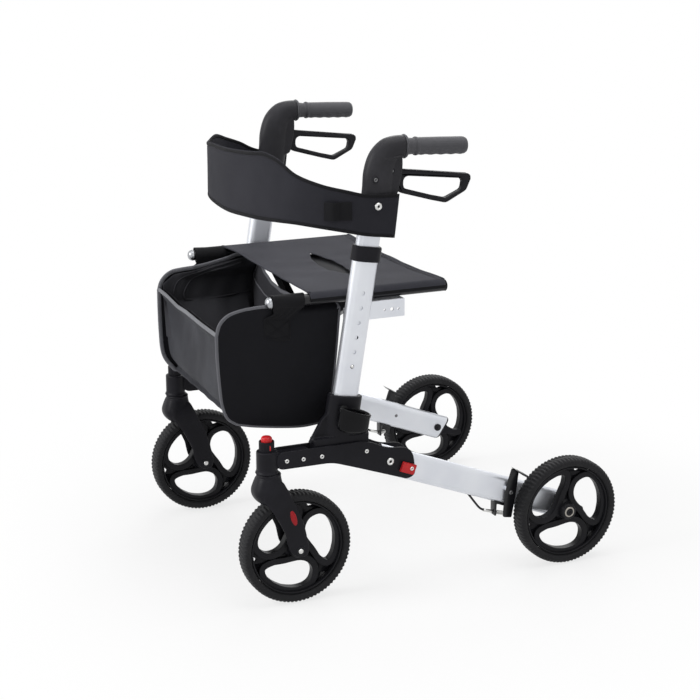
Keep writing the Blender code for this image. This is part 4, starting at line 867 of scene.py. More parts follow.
for height in (233.2, 237.4):
    ring_profile = [(0, height + 1.7), (20.2, height + 1.7), (21.4, height + 0.8), (21.4, height - 0.8), (20.2, height - 1.7), (0, height - 1.7)]
    fork_parts.append(turned_mesh("ring", ring_profile[::-1], (246, -46.5, 0), "Z", 64))
neck = [(0, 240.5), (19.4, 240.5), (19.4, 229), (0, 229)]
fork_parts.append(turned_mesh("neck", neck[::-1], (246, -46.5, 0), "Z", 64))
arch = turned_mesh("arch", [(0, 264.6), (103.6, 264.6), (103.6, 227.4), (0, 227.4)], (0, 0, 100), "X", 160)
fork_mesh = moulded("left_fork_moulding", fork_parts, 1.05, 9, [arch])
both_sides("fork_moulding", fork_mesh, NYLON, "caster", "caster_fork")
print("fork:", len(fork_mesh.polygons), "faces after the remesh")

# %% [markdown]
# A handle's elbow is a horn that rises along the post and bends back to the grip. Its stations are
# oval sections square to the horn's own line. Two cheeks stand out behind it and hold the brake lever
# between them.

# %% Handle elbows
ELBOW = np.array([156.0, 729.0])
HORN = np.array((
    (-8, -95, 81, 25, 15.5), (-5.6, -60, 81, 26, 17), (0, -22, 81, 27, 18), (2, 4, 78, 27, 18),
    (8, 26, 58, 26, 18), (19, 41, 32, 23, 18), (32, 47, 10, 20, 18.5), (45, 48.2, -2.5, 19.2, 18.8),
), float)
horn_rows = smooth_curve(HORN, 9)
heading = np.radians(horn_rows[:, 2])[:, None]
horn_section = rounded_box(1, 1, 2.25, 48)
u = horn_rows[:, 3:4] * horn_section[None, :, 0]
v = horn_rows[:, 4:5] * horn_section[None, :, 1]
horn_grid = np.stack([
    240 + v, ELBOW[0] + horn_rows[:, 0:1] - u * np.sin(heading), ELBOW[1] + horn_rows[:, 1:2] + u * np.cos(heading)
], 2)

# %% [markdown]
# The horn's foot is bored for the tube, and a slot between the cheeks takes the lever. A thin fin
# marks the place where the grip's core is held.

# %% Handle mouldings
LEVER_PIN = np.array([176.0, 738.0])
CHEEKS = np.array(((-14, -44), (9, -41), (12.5, -36), (16, -20), (20, -4), (21, 12), (20.4, 24), (17, 27), (-14, 25)), float)
LEAN = math.radians(9)


def post_line(distance):
    """Middle of the leaning post and its tube, ``distance`` mm up from the floor along the lean."""
    return np.array([240, 40.3 + distance * math.sin(LEAN), distance * math.cos(LEAN)])


def tube_bore():
    """An oval the size of the handle tube plus 0.4 mm, from below the horn's foot to the tube's end."""
    section = rounded_box(21.4, 10.4, 2.0, 40)
    ends = np.array([post_line(600), post_line(702.4)])
    ahead = np.array([0, math.cos(LEAN), -math.sin(LEAN)])
    grid = ends[:, None, :] + section[None, :, :1] * ahead + section[None, :, 1:] * np.array([1.0, 0, 0])
    return grid_mesh("bore", grid)


def cheek_outline():
    corners = np.vstack([CHEEKS, CHEEKS[:1]])
    line = evenly(corners, 160)[:-1]
    soft = (np.roll(line, 3, 0) + np.roll(line, -3, 0) + np.roll(line, 1, 0) + np.roll(line, -1, 0) + line) / 5
    return soft + LEVER_PIN


cheeks = flat_mesh("cheeks", [cheek_outline()], 13.4, (240, 0, 0), bevel=2.0)
fin = [grid_mesh("fin", carried(
    np.column_stack([np.full(12, 257.6), np.linspace(163, 196, 12), np.linspace(760, 764, 12)]),
    rounded_box(1.6, 0.8, 2.0, 12), up=(0, 0, 1),
))]
handle_mesh = moulded(
    "left_handle_moulding", [grid_mesh("horn", horn_grid, flip=True), cheeks, *fin], 1.15, 3,
    [
        block("slot", (233.9, LEVER_PIN[0] - 11, LEVER_PIN[1] - 50), (246.1, LEVER_PIN[0] + 34, LEVER_PIN[1] + 12)),
        tube_bore(),
    ],
)
both_sides("handle_moulding", handle_mesh, HANDLE_NYLON, "handle", "handle_body")
print("handle:", len(handle_mesh.polygons), "faces after the remesh and the cuts")

# %% [markdown]
# Each side frame's middle is three mouldings: the socket that the post stands in, two plates that clamp
# it, and the barrel in front that holds the caster. The plates are flat outlines with filleted corners.
# A fillet is a short curve that leaves one edge and joins the next, and its reach from the corner is
# the wanted radius.


# %% Filleted outlines and side plates
def filleted(corners, steps=8):
    """Corners (y, z, reach): each is replaced by a quadratic curve that starts ``reach`` before it."""
    corners = np.asarray(corners, float)
    spot = corners[:, :2]
    before, after = np.roll(spot, 1, 0) - spot, np.roll(spot, -1, 0) - spot
    start = spot + before / np.linalg.norm(before, axis=1, keepdims=True) * corners[:, 2:]
    end = spot + after / np.linalg.norm(after, axis=1, keepdims=True) * corners[:, 2:]
    t = np.linspace(0, 1, steps)[None, :, None]
    curve = start[:, None] * (1 - t) ** 2 + 2 * spot[:, None] * t * (1 - t) + end[:, None] * t**2
    return curve.reshape(-1, 2)


PLATE = filleted((
    (-37.6, 277.8, 14), (130, 278, 22), (165, 260, 14), (216, 255, 24), (222, 203, 9), (206, 197, 6),
    (105, 233, 16), (64, 247, 14), (-37.6, 247.2, 14),
))
outer = flat_mesh("outer", [PLATE], 2.0, (260.5, 0, 0), bevel=1.1)
inner = flat_mesh("inner", [PLATE], 2.0, (231.5, 0, 0), bevel=1.1)
both_sides("plate_outer", outer, NYLON, "frame", "side_plate_outer")
both_sides("plate_inner", inner, NYLON, "frame", "side_plate_inner")
print("plate outline:", len(PLATE), "points")

# %% [markdown]
# The socket is an oval sleeve round the post's foot, with a thin rib in front and behind, a block
# between the plates, and two ears on the inside that take a fold brace on a pin. All of it is fused
# by the same remesh as the forks, and then bored for the post.


# %% Post sockets
def post_loft(name, low, high, half_depth, half_width, x=240, offset=0.0, power=2.2, count=48):
    """An oval bar along the leaning post between two distances."""
    section = rounded_box(half_depth, half_width, power, count)
    ends = np.linspace(low, high, 12)
    middle = np.stack([post_line(d) for d in ends])
    middle[:, 0] = x
    ahead = np.array([0, math.cos(LEAN), -math.sin(LEAN)])
    grid = middle[:, None, :] + (section[None, :, :1] + offset) * ahead + section[None, :, 1:] * np.array([1.0, 0, 0])
    return grid_mesh(name, grid)


def socket_mesh(side_name, brace_y):
    """Sleeve, ribs, block and ears as one moulding; ``brace_y`` is the middle of its fold brace."""
    ribs = filleted(((70, 338, 2), (52, 322, 8), (28, 281, 2), (140, 281, 4), (136, 300, 14), (112, 318, 6), (105, 338, 2)))
    block_line = filleted(((34, 290, 3), (34, 249, 4), (134, 243, 6), (134, 290, 3)))
    web = block("web", (228, 98, 284), (240, brace_y + 11.2, 316))
    ears = [
        block("ear", (206, low, 290), (234, low + 4.5, 310)) for low in (brace_y - 11.2, brace_y + 6.7)
    ]
    ears += [
        turned_mesh("ear", ((0, low), (10.5, low), (10.5, low + 4.5), (0, low + 4.5)), (215, 0, 300), "Y", 40)
        for low in (brace_y - 11.2, brace_y + 6.7)
    ]
    pin = turned_mesh("pin", ((0, brace_y - 9), (4, brace_y - 9), (4, brace_y + 9), (0, brace_y + 9)), (215, 0, 300), "Y", 24)
    parts = [
        post_loft("sleeve", 290.5, 363.5, 31, 18), flat_mesh("ribs", [ribs], 4.5, (243, 0, 0)),
        flat_mesh("block", [block_line], 12.0, (246, 0, 0)), web, *ears, pin,
    ]
    return moulded(f"{side_name}_socket", parts, 1.3, 3, [post_loft("bore", 296.0, 420, 23.4, 12.4)])


for side_name, sign, brace_y in (("left", 1, 124), ("right", -1, 138)):
    socket_data = socket_mesh(side_name, brace_y)
    if sign < 0:
        socket_data = mirrored(socket_data, "right_socket")
    piece = put(f"{side_name}_socket_moulding", socket_data, NYLON)
    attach(piece, f"{side_name}_frame")
    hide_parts(f"{side_name}_base_socket")
print("socket:", len(socket_data.polygons), "faces")

# %% [markdown]
# A shiny cup for a walking stick stands on the outside of each socket. It is one surface that starts
# under its middle, goes out and up, over the rim and down to the floor inside. Its axis leans with the
# post and its mouth slopes a little more.

# %% Cane cups
CUP_WALL = (
    (0.0, 0.0), (0.55, 0.0), (0.78, 0.8), (0.93, 4.0), (0.99, 9), (1.0, 17), (1.0, 31), (1.04, 35), (1.05, 37.2), (1.02, 38.4),
    (0.95, 38.4), (0.9, 37.2), (0.875, 33), (0.86, 8), (0.8, 5.4), (0.4, 5.0), (0.0, 5.0),
)


def cup_mesh():
    """Rings (share of the oval, height): the mouth's height also falls by 0.19 per mm rearwards and 0.10 outwards."""
    wall = evenly(np.array(CUP_WALL) * np.array([29, 1]), 90)
    oval = rounded_box(29, 15, 2.3, 72)
    share = (wall[:, 0] / 29)[:, None]
    u, v = oval[None, :, 0] * share, oval[None, :, 1] * share
    height = 306 + wall[:, 1:] - (0.19 * u + 0.10 * v) * np.clip(wall[:, 1:] / 36, 0, 1)
    ahead = np.array([0, math.cos(LEAN), -math.sin(LEAN)])
    up = np.array([0, math.sin(LEAN), math.cos(LEAN)])
    grid = np.array([271, 40.3, 0]) + height[..., None] * up + (u[..., None] + 8) * ahead
    grid = grid + v[..., None] * np.array([1.0, 0, 0])
    return grid_mesh("left_cane_cup", grid, caps=False, weld=True)


both_sides("cane_cup", cup_mesh(), CUP_NYLON, "frame")

# %% [markdown]
# The barrel in front of the plates has a ribbed collar. A slot in the collar's outer side shows the red
# stem of the release button that stands in it.


# %% Caster housings and buttons
BARREL_Y = -49.5


def collar_mesh():
    """A turned collar whose radius carries fine upright ribs: 0.35 mm times a steep wave of the turn."""
    profile = np.array([(9.9, 296.4), (12.6, 297), (13.2, 296.2), (13.2, 277), (9.9, 277)])
    profile = np.vstack([profile[:2], evenly(profile[1:4], 24), profile[4:]])

    def rib(turn, height, radius):
        return -0.45 * (0.5 + 0.5 * np.tanh(5 * (np.cos(30 * turn) - 0.2))) * (radius > 12.9) * (height < 295.4) * (height > 279)

    return turned_mesh("collar", profile[::-1], (246, BARREL_Y, 0), "Z", 360, rib, closed=True)


barrel = [(0, 282), (17.4, 279.5), (17.9, 278.5), (17.9, 246), (19.2, 243.6), (20.2, 242), (20.2, 240.4), (0, 240.4)]
barrel_arm = filleted(((BARREL_Y, 274.5, 2), (27, 274.5, 5), (27, 249, 5), (BARREL_Y, 249, 2)))
barrel_neck = [
    (z, 246, BARREL_Y - 2, -30 + reach, half) for z, reach, half in
    ((249, 0, 13.5), (252, 3, 14.5), (262, 4, 15.0), (272, 3, 14.5), (275, 0, 13.5))
]
housing_data = moulded(
    "left_housing",
    [
        turned_mesh("barrel", barrel[::-1], (246, BARREL_Y, 0), "Z", 72),
        flat_mesh("arm", [barrel_arm], 12.0, (246, 0, 0)), level_loft("neck", barrel_neck, 3.5),
    ], 1.2, 3, [turned_mesh("pocket", [(0, 290), (9.9, 290), (9.9, 268), (0, 268)][::-1], (246, BARREL_Y, 0), "Z", 48)],
)
both_sides("housing_moulding", housing_data, NYLON, "frame", "caster_housing")
both_sides("housing_collar", collar_mesh(), NYLON, "frame")
button = [
    (0, 305.6), (4.5, 305.4), (7.4, 304.6), (9.0, 302.8), (9.5, 300.6), (9.5, 272.5), (8.8, 271.8), (0, 271.8),
]
button_data = turned_mesh("button", button[::-1], (246, BARREL_Y, 0), "Z", 56)
both_sides("release_button", button_data, RED, "caster_button", "caster_button")
slot_edge = filleted(((-2.2, 281, 1), (-2.2, 293.5, 1), (2.2, 293.5, 1), (2.2, 281, 1))) + np.array([BARREL_Y + 1.5, 0])
slot_frame = flat_mesh("slot", [slot_edge], 0.5, (258.9, 0, 0))
both_sides("collar_slot", slot_frame, NYLON, "frame")
red_edge = filleted(((-1.0, 283, 0.6), (-1.0, 291.5, 0.6), (1.0, 291.5, 0.6), (1.0, 283, 0.6))) + np.array([BARREL_Y + 1.5, 0])
both_sides("collar_window", flat_mesh("window", [red_edge], 0.4, (259.2, 0, 0)), RED, "frame")

# %% [markdown]
# The axles and the brake arms are steel. A front axle is a bolt whose domed head sits in a dark washer on
# each side of the fork. A rear axle carries the wheel outside the leg on a spacer, and its inner end is
# a black cap nut. The brake arm is a plain bar with a bent shoe that presses on the tyre.


# %% Axles
def half_dome(face, reach, radius, height, sense):
    """Profile points (radius, x) of a shaft's domed end: a quarter ellipse beyond ``face``."""
    share = np.linspace(0, math.pi / 2, 7)
    return [(radius * math.cos(a), face + sense * (reach + height * math.sin(a))) for a in share]


front_shaft = half_dome(274.2, 0.0, 4.7, 2.6, 1) + half_dome(217.8, 0.0, 4.7, 2.6, -1)[::-1]
front_bolt = turned_mesh("front_bolt", front_shaft, (0, 0, 100), "X", 48)
both_sides("front_axle_bolt", front_bolt, BRIGHT, "caster", "caster_axle")
for name, face, sense in (("outer", 273.4, 1), ("inner", 218.6, -1)):
    washer = [(7.9, face), (7.6, face + sense * 0.8), (6.0, face + sense * 1.1), (5.3, face + sense * 0.5), (5.3, face)]
    washer_mesh = turned_mesh("washer", washer if sense > 0 else washer[::-1], (0, 0, 100), "X", 48, closed=True)
    both_sides(f"front_axle_{name}_washer", washer_mesh, LEVER_NYLON, "caster")
rear_shaft = [
    (0, 297.6), (5.0, 297.6), (5.0, 263.4), (9.0, 262.9), (9.0, 257.4), (5.0, 257.0), (5.0, 234.4), (0, 234.4),
]
rear_rod = turned_mesh("rear_rod", rear_shaft, (0, 515, 100), "X", 40)
both_sides("rear_axle_rod", rear_rod, BRIGHT, "rear_leg", "rear_axle")
cap_nut = [(0, 229.8), (2.6, 229.8), (2.8, 231.4), (5.0, 231.4), (6.6, 231.9), (7.4, 233.2), (7.4, 234.7), (0, 234.7)]
nut_mesh = turned_mesh("cap_nut", cap_nut[::-1], (0, 515, 100), "X", 40)
both_sides("rear_axle_nut", nut_mesh, LEVER_NYLON, "rear_leg")

# %% Brake arms
ARM_LINE = filleted((
    (414.5, 186, 3), (428.5, 181, 3), (423.5, 140, 10), (415.5, 92.5, 3), (398.5, 95.5, 3), (401.5, 146, 10),
))
SHOE = filleted(((414, 188.5, 0.6), (420.5, 181.5, 0.8), (436.5, 171.5, 0.8), (438.2, 174.4, 0.8)), 4)
bar_mesh = fuse(
    "brake_bar", flat_mesh("bar", [ARM_LINE], 1.6, (261.0, 0, 0), bevel=0.4),
    flat_mesh("shoe", [SHOE], 15.4, (273.8, 0, 0)),
)
both_sides("brake_bar", bar_mesh, POWDER_COAT, "brake_arm", "brake_arm")

# %% [markdown]
# Under each rear leg a hooked plate holds the end of the brake cable. The black sheath leaves the leg,
# and its bright adjuster ends at the hook. The wire goes on to the bar through a coil spring, which is
# a thin round wire carried along a helix.


# %% Cable ends
def tube(name, path, radius, count=16):
    return grid_mesh(name, carried(np.asarray(path, float), rounded_box(radius, radius, 2.0, count), up=(1, 0, 0)))


HOOK = filleted((
    (384.5, 125.4, 0.5), (409.5, 115.4, 0.5), (408.5, 112.2, 0.5), (388.8, 120.0, 2.5), (388.2, 97.5, 1.2), (384.8, 97.5, 1.2),
), 5)
hook_mesh = flat_mesh("hook", [HOOK], 8.0, (247, 0, 0), bevel=0.4)
both_sides("cable_hook", hook_mesh, POWDER_COAT, "rear_leg", "brake_bracket")
sheath_line = evenly(smooth_curve(np.array([
    (247, 331, 149), (247, 338, 140), (247, 348.5, 126), (247, 358, 114.5), (247, 367, 109),
]), 10), 40)
both_sides("cable_sheath", tube("sheath", sheath_line, 2.0), LEVER_NYLON, "rear_leg", "brake_cable")
adjuster_line = np.linspace((247, 365.5, 109.6), (247, 386.0, 103.0), 5)
ahead = (adjuster_line[-1] - adjuster_line[0]) / np.linalg.norm(adjuster_line[-1] - adjuster_line[0])
nut_line = np.stack([adjuster_line[-1] + ahead * step for step in (2.0, 6.0)])
adjuster_mesh = fuse("adjuster", tube("barrel", adjuster_line, 2.9, 24), tube("nut", nut_line, 3.6, 6))
both_sides("cable_adjuster", adjuster_mesh, BRIGHT, "rear_leg")
wire_end = np.array([257.0, 405.0, 100.5])
wire_start = adjuster_line[-1] + ahead * 4
both_sides("brake_wire", tube("wire", np.linspace(wire_start, wire_end, 4), 0.9, 12), BRIGHT, "rear_leg")
coil_turn = np.linspace(0, 7 * 2 * math.pi, 170)
coil_middle = wire_start + (wire_end - wire_start) * np.linspace(0.12, 0.92, 170)[:, None]
coil_line = coil_middle + 3.3 * np.stack([np.cos(coil_turn), 0 * coil_turn, np.sin(coil_turn)], 1)
both_sides("brake_spring", tube("spring", coil_line, 0.75, 8), BRIGHT, "rear_leg")
print("cable sheath seen:", round(float(np.linalg.norm(np.diff(sheath_line, axis=0), axis=1).sum())), "mm")

# %% [markdown]
# The hand grips are rubber sleeves: a flange against the handle, a narrow neck, a stop ring and then
# the barrel, which has shallow finger ribs underneath and rows of long oval dimples along its sides. Each ring of
# the grid is a circle whose radius is the barrel's own radius plus those small waves.

# %% Grips
GRIP_START = np.array([240, 201, 777.5])
GRIP_SLOPE = math.radians(-2.5)
GRIP_STATIONS = np.array((
    (0.6, 9), (0.6, 18), (1.4, 19.6), (3.2, 20.4), (5.0, 19.4), (6.0, 16), (8.0, 14.4), (19.0, 13.4), (21.4, 13.6),
    (22.4, 15.4), (24.4, 15.9), (26.4, 15.4), (27.6, 14.4), (30.0, 14.6), (70.0, 14.9), (110.0, 14.8), (114.5, 14.2),
    (117.3, 12.6), (118.6, 9.5), (118.9, 3.0),
))


def grip_mesh():
    along = np.unique(np.concatenate([GRIP_STATIONS[:, 0] + 1e-4 * np.arange(len(GRIP_STATIONS)), np.linspace(30, 112, 124)]))
    radius = np.interp(along, GRIP_STATIONS[:, 0] + 1e-4 * np.arange(len(GRIP_STATIONS)), GRIP_STATIONS[:, 1])
    turn = np.linspace(0, 2 * math.pi, 96, endpoint=False)
    body = np.clip((along - 31) / 3, 0, 1) * np.clip((111 - along) / 3, 0, 1)
    flutes = -0.60 * (0.5 + 0.5 * np.tanh(4 * (np.cos(24 * turn) - 0.35)))
    dashes = 0.5 + 0.5 * np.tanh(3 * (np.cos(2 * math.pi * (along - 34) / 11)[:, None] * np.cos(12 * turn)[None, :] + 0.5))
    top = np.clip(np.sin(turn) * 1.4 + 0.2, 0, 1)
    fingers = 0.5 * np.cos(2 * math.pi * (along - 34) / 19)[:, None] * np.clip(-np.sin(turn), 0, 1)[None, :]
    reach = radius[:, None] + body[:, None] * (flutes[None, :] * dashes * (1 - 0.8 * top[None, :]) + fingers)
    ahead = np.array([0, math.cos(GRIP_SLOPE), math.sin(GRIP_SLOPE)])
    lift = np.array([0, -math.sin(GRIP_SLOPE), math.cos(GRIP_SLOPE)])
    grid = GRIP_START + along[:, None, None] * ahead
    grid = grid + reach[:, :, None] * (np.cos(turn)[:, None] * np.array([1.0, 0, 0]) + np.sin(turn)[:, None] * lift)
    return grid_mesh("left_grip", grid, flip=True)


both_sides("grip_sleeve", grip_mesh(), GRIP_RUBBER, "handle", "hand_grip")

# %% [markdown]
# Fastenings finish the frame: domed rivets along the side plates, bolts through the handles and the
# brake, the cap screws that hold the backrest, and the bolts of the seat brackets. All of them are
# turned about X, and one helper makes their low domed heads, with a socket or without.


# %% Fastenings
def dome_profile(radius, height, socket=0.0):
    """A low dome from its edge to its middle, with an optional flat-bottomed socket."""
    share = np.linspace(0, 1, 8)
    outer = np.stack([radius * np.cos(share * math.pi / 2), height * np.sin(share * math.pi / 2)], 1)
    if not socket:
        return np.vstack([[0, -0.6], [radius, -0.6], outer[:-1], [0, height]])
    keep = outer[outer[:, 0] > socket * 1.15]
    rim_height = keep[-1, 1] * 0.98
    return np.vstack([[0, -0.6], [radius, -0.6], keep, [socket, rim_height], [socket * 0.96, -0.3], [0, -0.3]])


def fastener(name, x, y, z, radius, height, material, body, socket=0.0, steps=36):
    """A domed head on the outer face of each side."""
    data = turned_mesh(name, dome_profile(radius, height, socket), (x, y, z), "X", steps)
    return both_sides(name, data, material, body)


plate_face = 262.5
for number, (y, z) in enumerate(((-19.3, 261.5), (10.7, 261), (44.7, 261), (128, 259))):
    fastener(f"plate_rivet_{number}", plate_face + 0.3, y, z, 3.9, 1.5, BRIGHT, "frame", 1.6)
fastener("leg_pivot_head", plate_face + 0.3, 173, 234, 6.8, 2.6, BRIGHT, "frame", 3.0)
fastener("latch_screw", plate_face + 5.6, 212, 217, 3.6, 1.4, BRIGHT, "latch", 1.5)
for name, y, z, face in (("handle_bolt", 145.2, 727.6, 257.6), ("lever_bolt", 176.1, 739.8, 253.2)):
    fastener(f"{name}_ring", face, y, z, 6.0, 1.6, LEVER_NYLON, "handle", 4.2)
    fastener(f"{name}_head", face, y, z, 3.7, 1.1, GREY_STEEL, "handle", 1.5)
fastener("brake_arm_bolt", 262.7, 413.5, 140.5, 4.2, 1.8, GREY_STEEL, "brake_arm", 1.6)
inner_dome = (dome_profile(3.3, 1.2) * np.array([1, -1]))[::-1]
leg_rivet = turned_mesh("leg_inner_rivet", inner_dome, (234.9, 419.5, 137.6), "X", 32)
both_sides("leg_inner_rivet", leg_rivet, GREY_STEEL, "rear_leg")
print("fastenings on each side:", sum(piece.name.startswith("left_") for piece in made_pieces[-60:]))

# %% [markdown]
# Each front fork carries a red oval reflector on its outer face, let into the plastic. Its face is a
# shallow dome with fine cross ribs. The rear hubs show a bright bearing ring round a black socket head
# inside a dark washer.


# %% Reflectors and hub rings
def reflector_mesh():
    """An oval dome: x rises by 1.2 mm times the root of 1 - rho squared, across a leaning ellipse."""
    rho = np.linspace(0.0, 1, 14)[:, None]
    turn = np.linspace(0, 2 * math.pi, 64, endpoint=False)[None, :]
    lean = math.radians(-17)
    a, b = 5.9 * rho * np.cos(turn), 16.3 * rho * np.sin(turn)
    y = -12.5 + a * math.cos(lean) + b * math.sin(lean)
    z = 162.0 - a * math.sin(lean) + b * math.cos(lean)
    x = 272.6 + 1.7 * np.sqrt(1.0001 - rho**2) + 0 * turn + 0.22 * np.cos(b * 2.2) * np.cos(a * 2.2) * (rho < 0.85)
    skirt = np.stack([x[-1] - 2, y[-1], z[-1]], 1)[None]
    return grid_mesh("left_reflector", np.concatenate([np.stack([x, y, z], 2), skirt]), caps=True, weld=True)


both_sides("fork_reflector", reflector_mesh(), REFLECTOR, "caster")
hub_face = 280.55 + 17.25
hub_centre = (hub_face, 515, 100)
hub_washer = [(13.4, 0.2), (12.8, 0.9), (10.6, 1.0), (10.2, 0.2), (10.2, -1.0), (13.4, -1.0)]
hub_ring = [(9.9, 0.6), (9.5, 1.5), (7.6, 2.1), (6.6, 1.6), (6.6, -1), (9.9, -1)]
socket_head = [(0, 0.6), (3.0, 0.6), (3.1, 2.4), (5.6, 2.4), (6.2, 1.9), (6.2, -1), (0, -1)]
for name, profile, paint, slot, closed in (
    ("hub_washer", hub_washer, LEVER_NYLON, "black_plastic", True),
    ("hub_bearing_ring", hub_ring, BEARING, "bright_steel", True),
    ("hub_socket_head", socket_head, LEVER_NYLON, "black_plastic", False),
):
    hub_mesh = turned_mesh(name, profile if closed else profile[::-1], hub_centre, "X", 64, closed=closed)
    both_sides(name, hub_mesh, paint, "rear_wheel" if closed else "rear_leg")

# %% [markdown]
# The seat is one sheet of coated cloth stretched over both rails. It sags a few millimetres between
# them. Along each rail it is turned over the outside and ends in a welt, below which the black rail
# shows. A slit in the middle lets a hand reach a strap and pull the frame shut. The slit is made by
# parting the grid along one line: its two edges move apart by an arch of the distance from the slit's
# middle, and the cloth round it puckers.

# %% Seat sheet
RAIL_X, RAIL_Z, RAIL_RADIUS = 202, 522, 10
SEAT_FRONT, SEAT_REAR = 46, 300
SLIT_Y, SLIT_LOW, SLIT_HIGH = 173, -96, 88


def soft_sheet(name, grids, thickness, material, offset=0.0, levels=1):
    """Grids joined at their shared edges, given a thickness and smoothed."""
    data = welded(fuse(name, *[grid_mesh(name, grid, wrap_columns=False) for grid in grids]))
    piece = put(name, data, material)
    solid = piece.modifiers.new("thickness", "SOLIDIFY")
    solid.thickness = thickness * MM
    solid.offset = offset
    if levels:
        smooth = piece.modifiers.new("soft", "SUBSURF")
        smooth.levels = smooth.render_levels = levels
    return piece


def seat_surface(front, rear, rows):
    """Half of the seat, in front of the slit or behind it: flat, then wrapped round both rails.

    Height = rail top - sag (1 - (x / rail)^2)^1.4 + waves; the slit's edges move away by 17 and 21 mm times
    an arch, the two outer edges bow in by up to 6 mm, and the front corners reach 6 mm further forwards.
    """
    x_flat = np.linspace(-RAIL_X, RAIL_X, 91)
    wrap = np.linspace(math.radians(90), math.radians(4), 11)[1:]
    radius = RAIL_RADIUS + 1.7
    side = np.stack([RAIL_X + radius * np.cos(wrap), RAIL_Z + radius * np.sin(wrap)], 1)
    x = np.concatenate([-side[::-1, 0], x_flat, side[:, 0]])
    z = np.concatenate([side[::-1, 1], np.full(91, RAIL_Z + radius), side[:, 1]])
    y = np.linspace(front, rear, rows)[:, None]
    inner = np.clip(1 - (x / RAIL_X) ** 2, 0, 1)
    depth = (y - SEAT_FRONT) / (SEAT_REAR - SEAT_FRONT)
    bow = 6 * np.clip(1 - depth / 0.25, 0, 1) - 5 * np.clip((depth - 0.8) / 0.2, 0, 1)
    sag = (4.5 + 2.0 * np.sin(math.pi * depth)) * inner**1.4
    ripple = 0.5 * np.sin(x / 31 + y / 40) * inner + 0.35 * np.sin(x / 13 - y / 60) * inner
    middle, reach = (SLIT_LOW + SLIT_HIGH) / 2, (SLIT_HIGH - SLIT_LOW) / 2
    arch = np.clip(1 - ((x - middle) / reach) ** 2, 0, None) ** 0.9
    behind = 1 if front >= SLIT_Y else -1
    gap = (21 if behind > 0 else 17) * arch * np.exp(-np.abs(y - SLIT_Y) / 42) * behind
    pucker = (-1.5 if behind > 0 else -2.0) * arch * np.exp(-np.abs(y - SLIT_Y) / 13)
    radiating = 0.9 * np.sin((x - middle) / 7) * np.exp(-np.abs(y - SLIT_Y) / 22 - ((x - middle) / 80) ** 2)
    corner = -8 * np.clip(-x / RAIL_X - 0.75, 0, None) * 4 * np.clip(1 - depth / 0.3, 0, 1)
    grid = np.zeros((rows, len(x), 3))
    grid[:, :, 0] = x
    grid[:, :, 1] = y + bow * inner + gap + corner
    grid[:, :, 2] = z[None, :] - sag + ripple + pucker + radiating
    return grid


seat_grids = [seat_surface(SEAT_FRONT, SLIT_Y, 30), seat_surface(SLIT_Y, SEAT_REAR, 34)]
seat = soft_sheet("seat_cloth_sheet", seat_grids, 2.2, SEAT_CLOTH)
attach(seat, "seat_cloth")
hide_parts("seat_fabric")
print("seat sheet:", SEAT_REAR - SEAT_FRONT, "mm deep,", 2 * RAIL_X, "mm between the rails")

# %% [markdown]
# The hems and welts are rolls of the same cloth, a little darker where they are sewn. Each is a flat
# oval carried along an edge of the seat. Under the slit hangs the pull strap, a loop of webbing that
# sags below the cloth.

# %% Seat hems and strap
def roll(name, path, half_wide, half_thick, material, up=(0, 0, 1), body="seat_cloth"):
    """A flat oval section carried along a path, as a piece on its body."""
    section = rounded_box(half_wide, half_thick, 2.4, 16)
    piece = put(name, grid_mesh(name, carried(path, section, up=up)), material)
    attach(piece, body)
    return piece


flat_columns = slice(8, -8)
front_edge = seat_grids[0][0, flat_columns] + np.array([0, 1.5, 0.2])
rear_edge = seat_grids[1][-1, flat_columns] + np.array([0, -1.5, 0.2])
roll("seat_front_hem", evenly(front_edge, 60), 3.2, 1.9, SEAT_CLOTH)
roll("seat_rear_hem", evenly(rear_edge, 60), 3.4, 2.0, SEAT_CLOTH)
for side_name, sign in SIDES:
    welt_y = np.linspace(SEAT_FRONT + (0 if sign > 0 else -7), SEAT_REAR, 60)
    welt = np.column_stack([np.full(60, sign * (RAIL_X + 11.6)), welt_y, np.full(60, RAIL_Z + 0.6)])
    roll(f"{side_name}_seat_welt", welt, 1.5, 3.0, WEBBING)
for number, offset in enumerate((9, 13)):
    stitch_line = seat_grids[1][-1, flat_columns] + np.array([0, -offset, 1.1])
    roll(f"seat_rear_seam_{number}", evenly(stitch_line, 60), 0.5, 0.35, BAG_CLOTH)
strap_turn = np.linspace(0, math.pi, 40)
strap = np.column_stack([
    -4 + 112 * np.cos(strap_turn), np.full(40, SLIT_Y + 6.0), 523.0 - 2.5 * np.sin(strap_turn) ** 0.6
])
roll("seat_pull_strap", strap, 46.0, 1.0, BAG_CLOTH, up=(0, 0, 1))

# %% [markdown]
# The front end of each rail carries a bright domed cap, and its rear end a black one that is flush with
# the cloth.

# %% Rail ends
RAIL_FRONT = -23.5
cap_profile = np.array((
    (0, -7.4), (3.4, -7.1), (6.4, -6.0), (8.6, -4.0), (9.7, -1.6), (10.0, 0.2), (10.3, 0.6), (10.3, 2.2), (9.0, 2.6), (0, 2.6),
))
cap_profile[:, 1] += RAIL_FRONT - 0.6
for side_name, sign, body_name in (("left", 1, "brace_b"), ("right", -1, "brace_a")):
    centre = (sign * RAIL_X, 0, RAIL_Z)
    front_cap = put(f"{side_name}_rail_front_cap", turned_mesh("cap", cap_profile, centre, "Y", 48), CAP_METAL)
    rear_profile = cap_profile[::-1] * np.array([1, -0.35])
    rear_profile[:, 1] += 295.2
    rear_cap = put(f"{side_name}_rail_rear_cap", turned_mesh("cap", rear_profile, centre, "Y", 48), NYLON)
    for piece, slot in ((front_cap, "bright_steel"), (rear_cap, "black_plastic")):
        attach(piece, body_name)

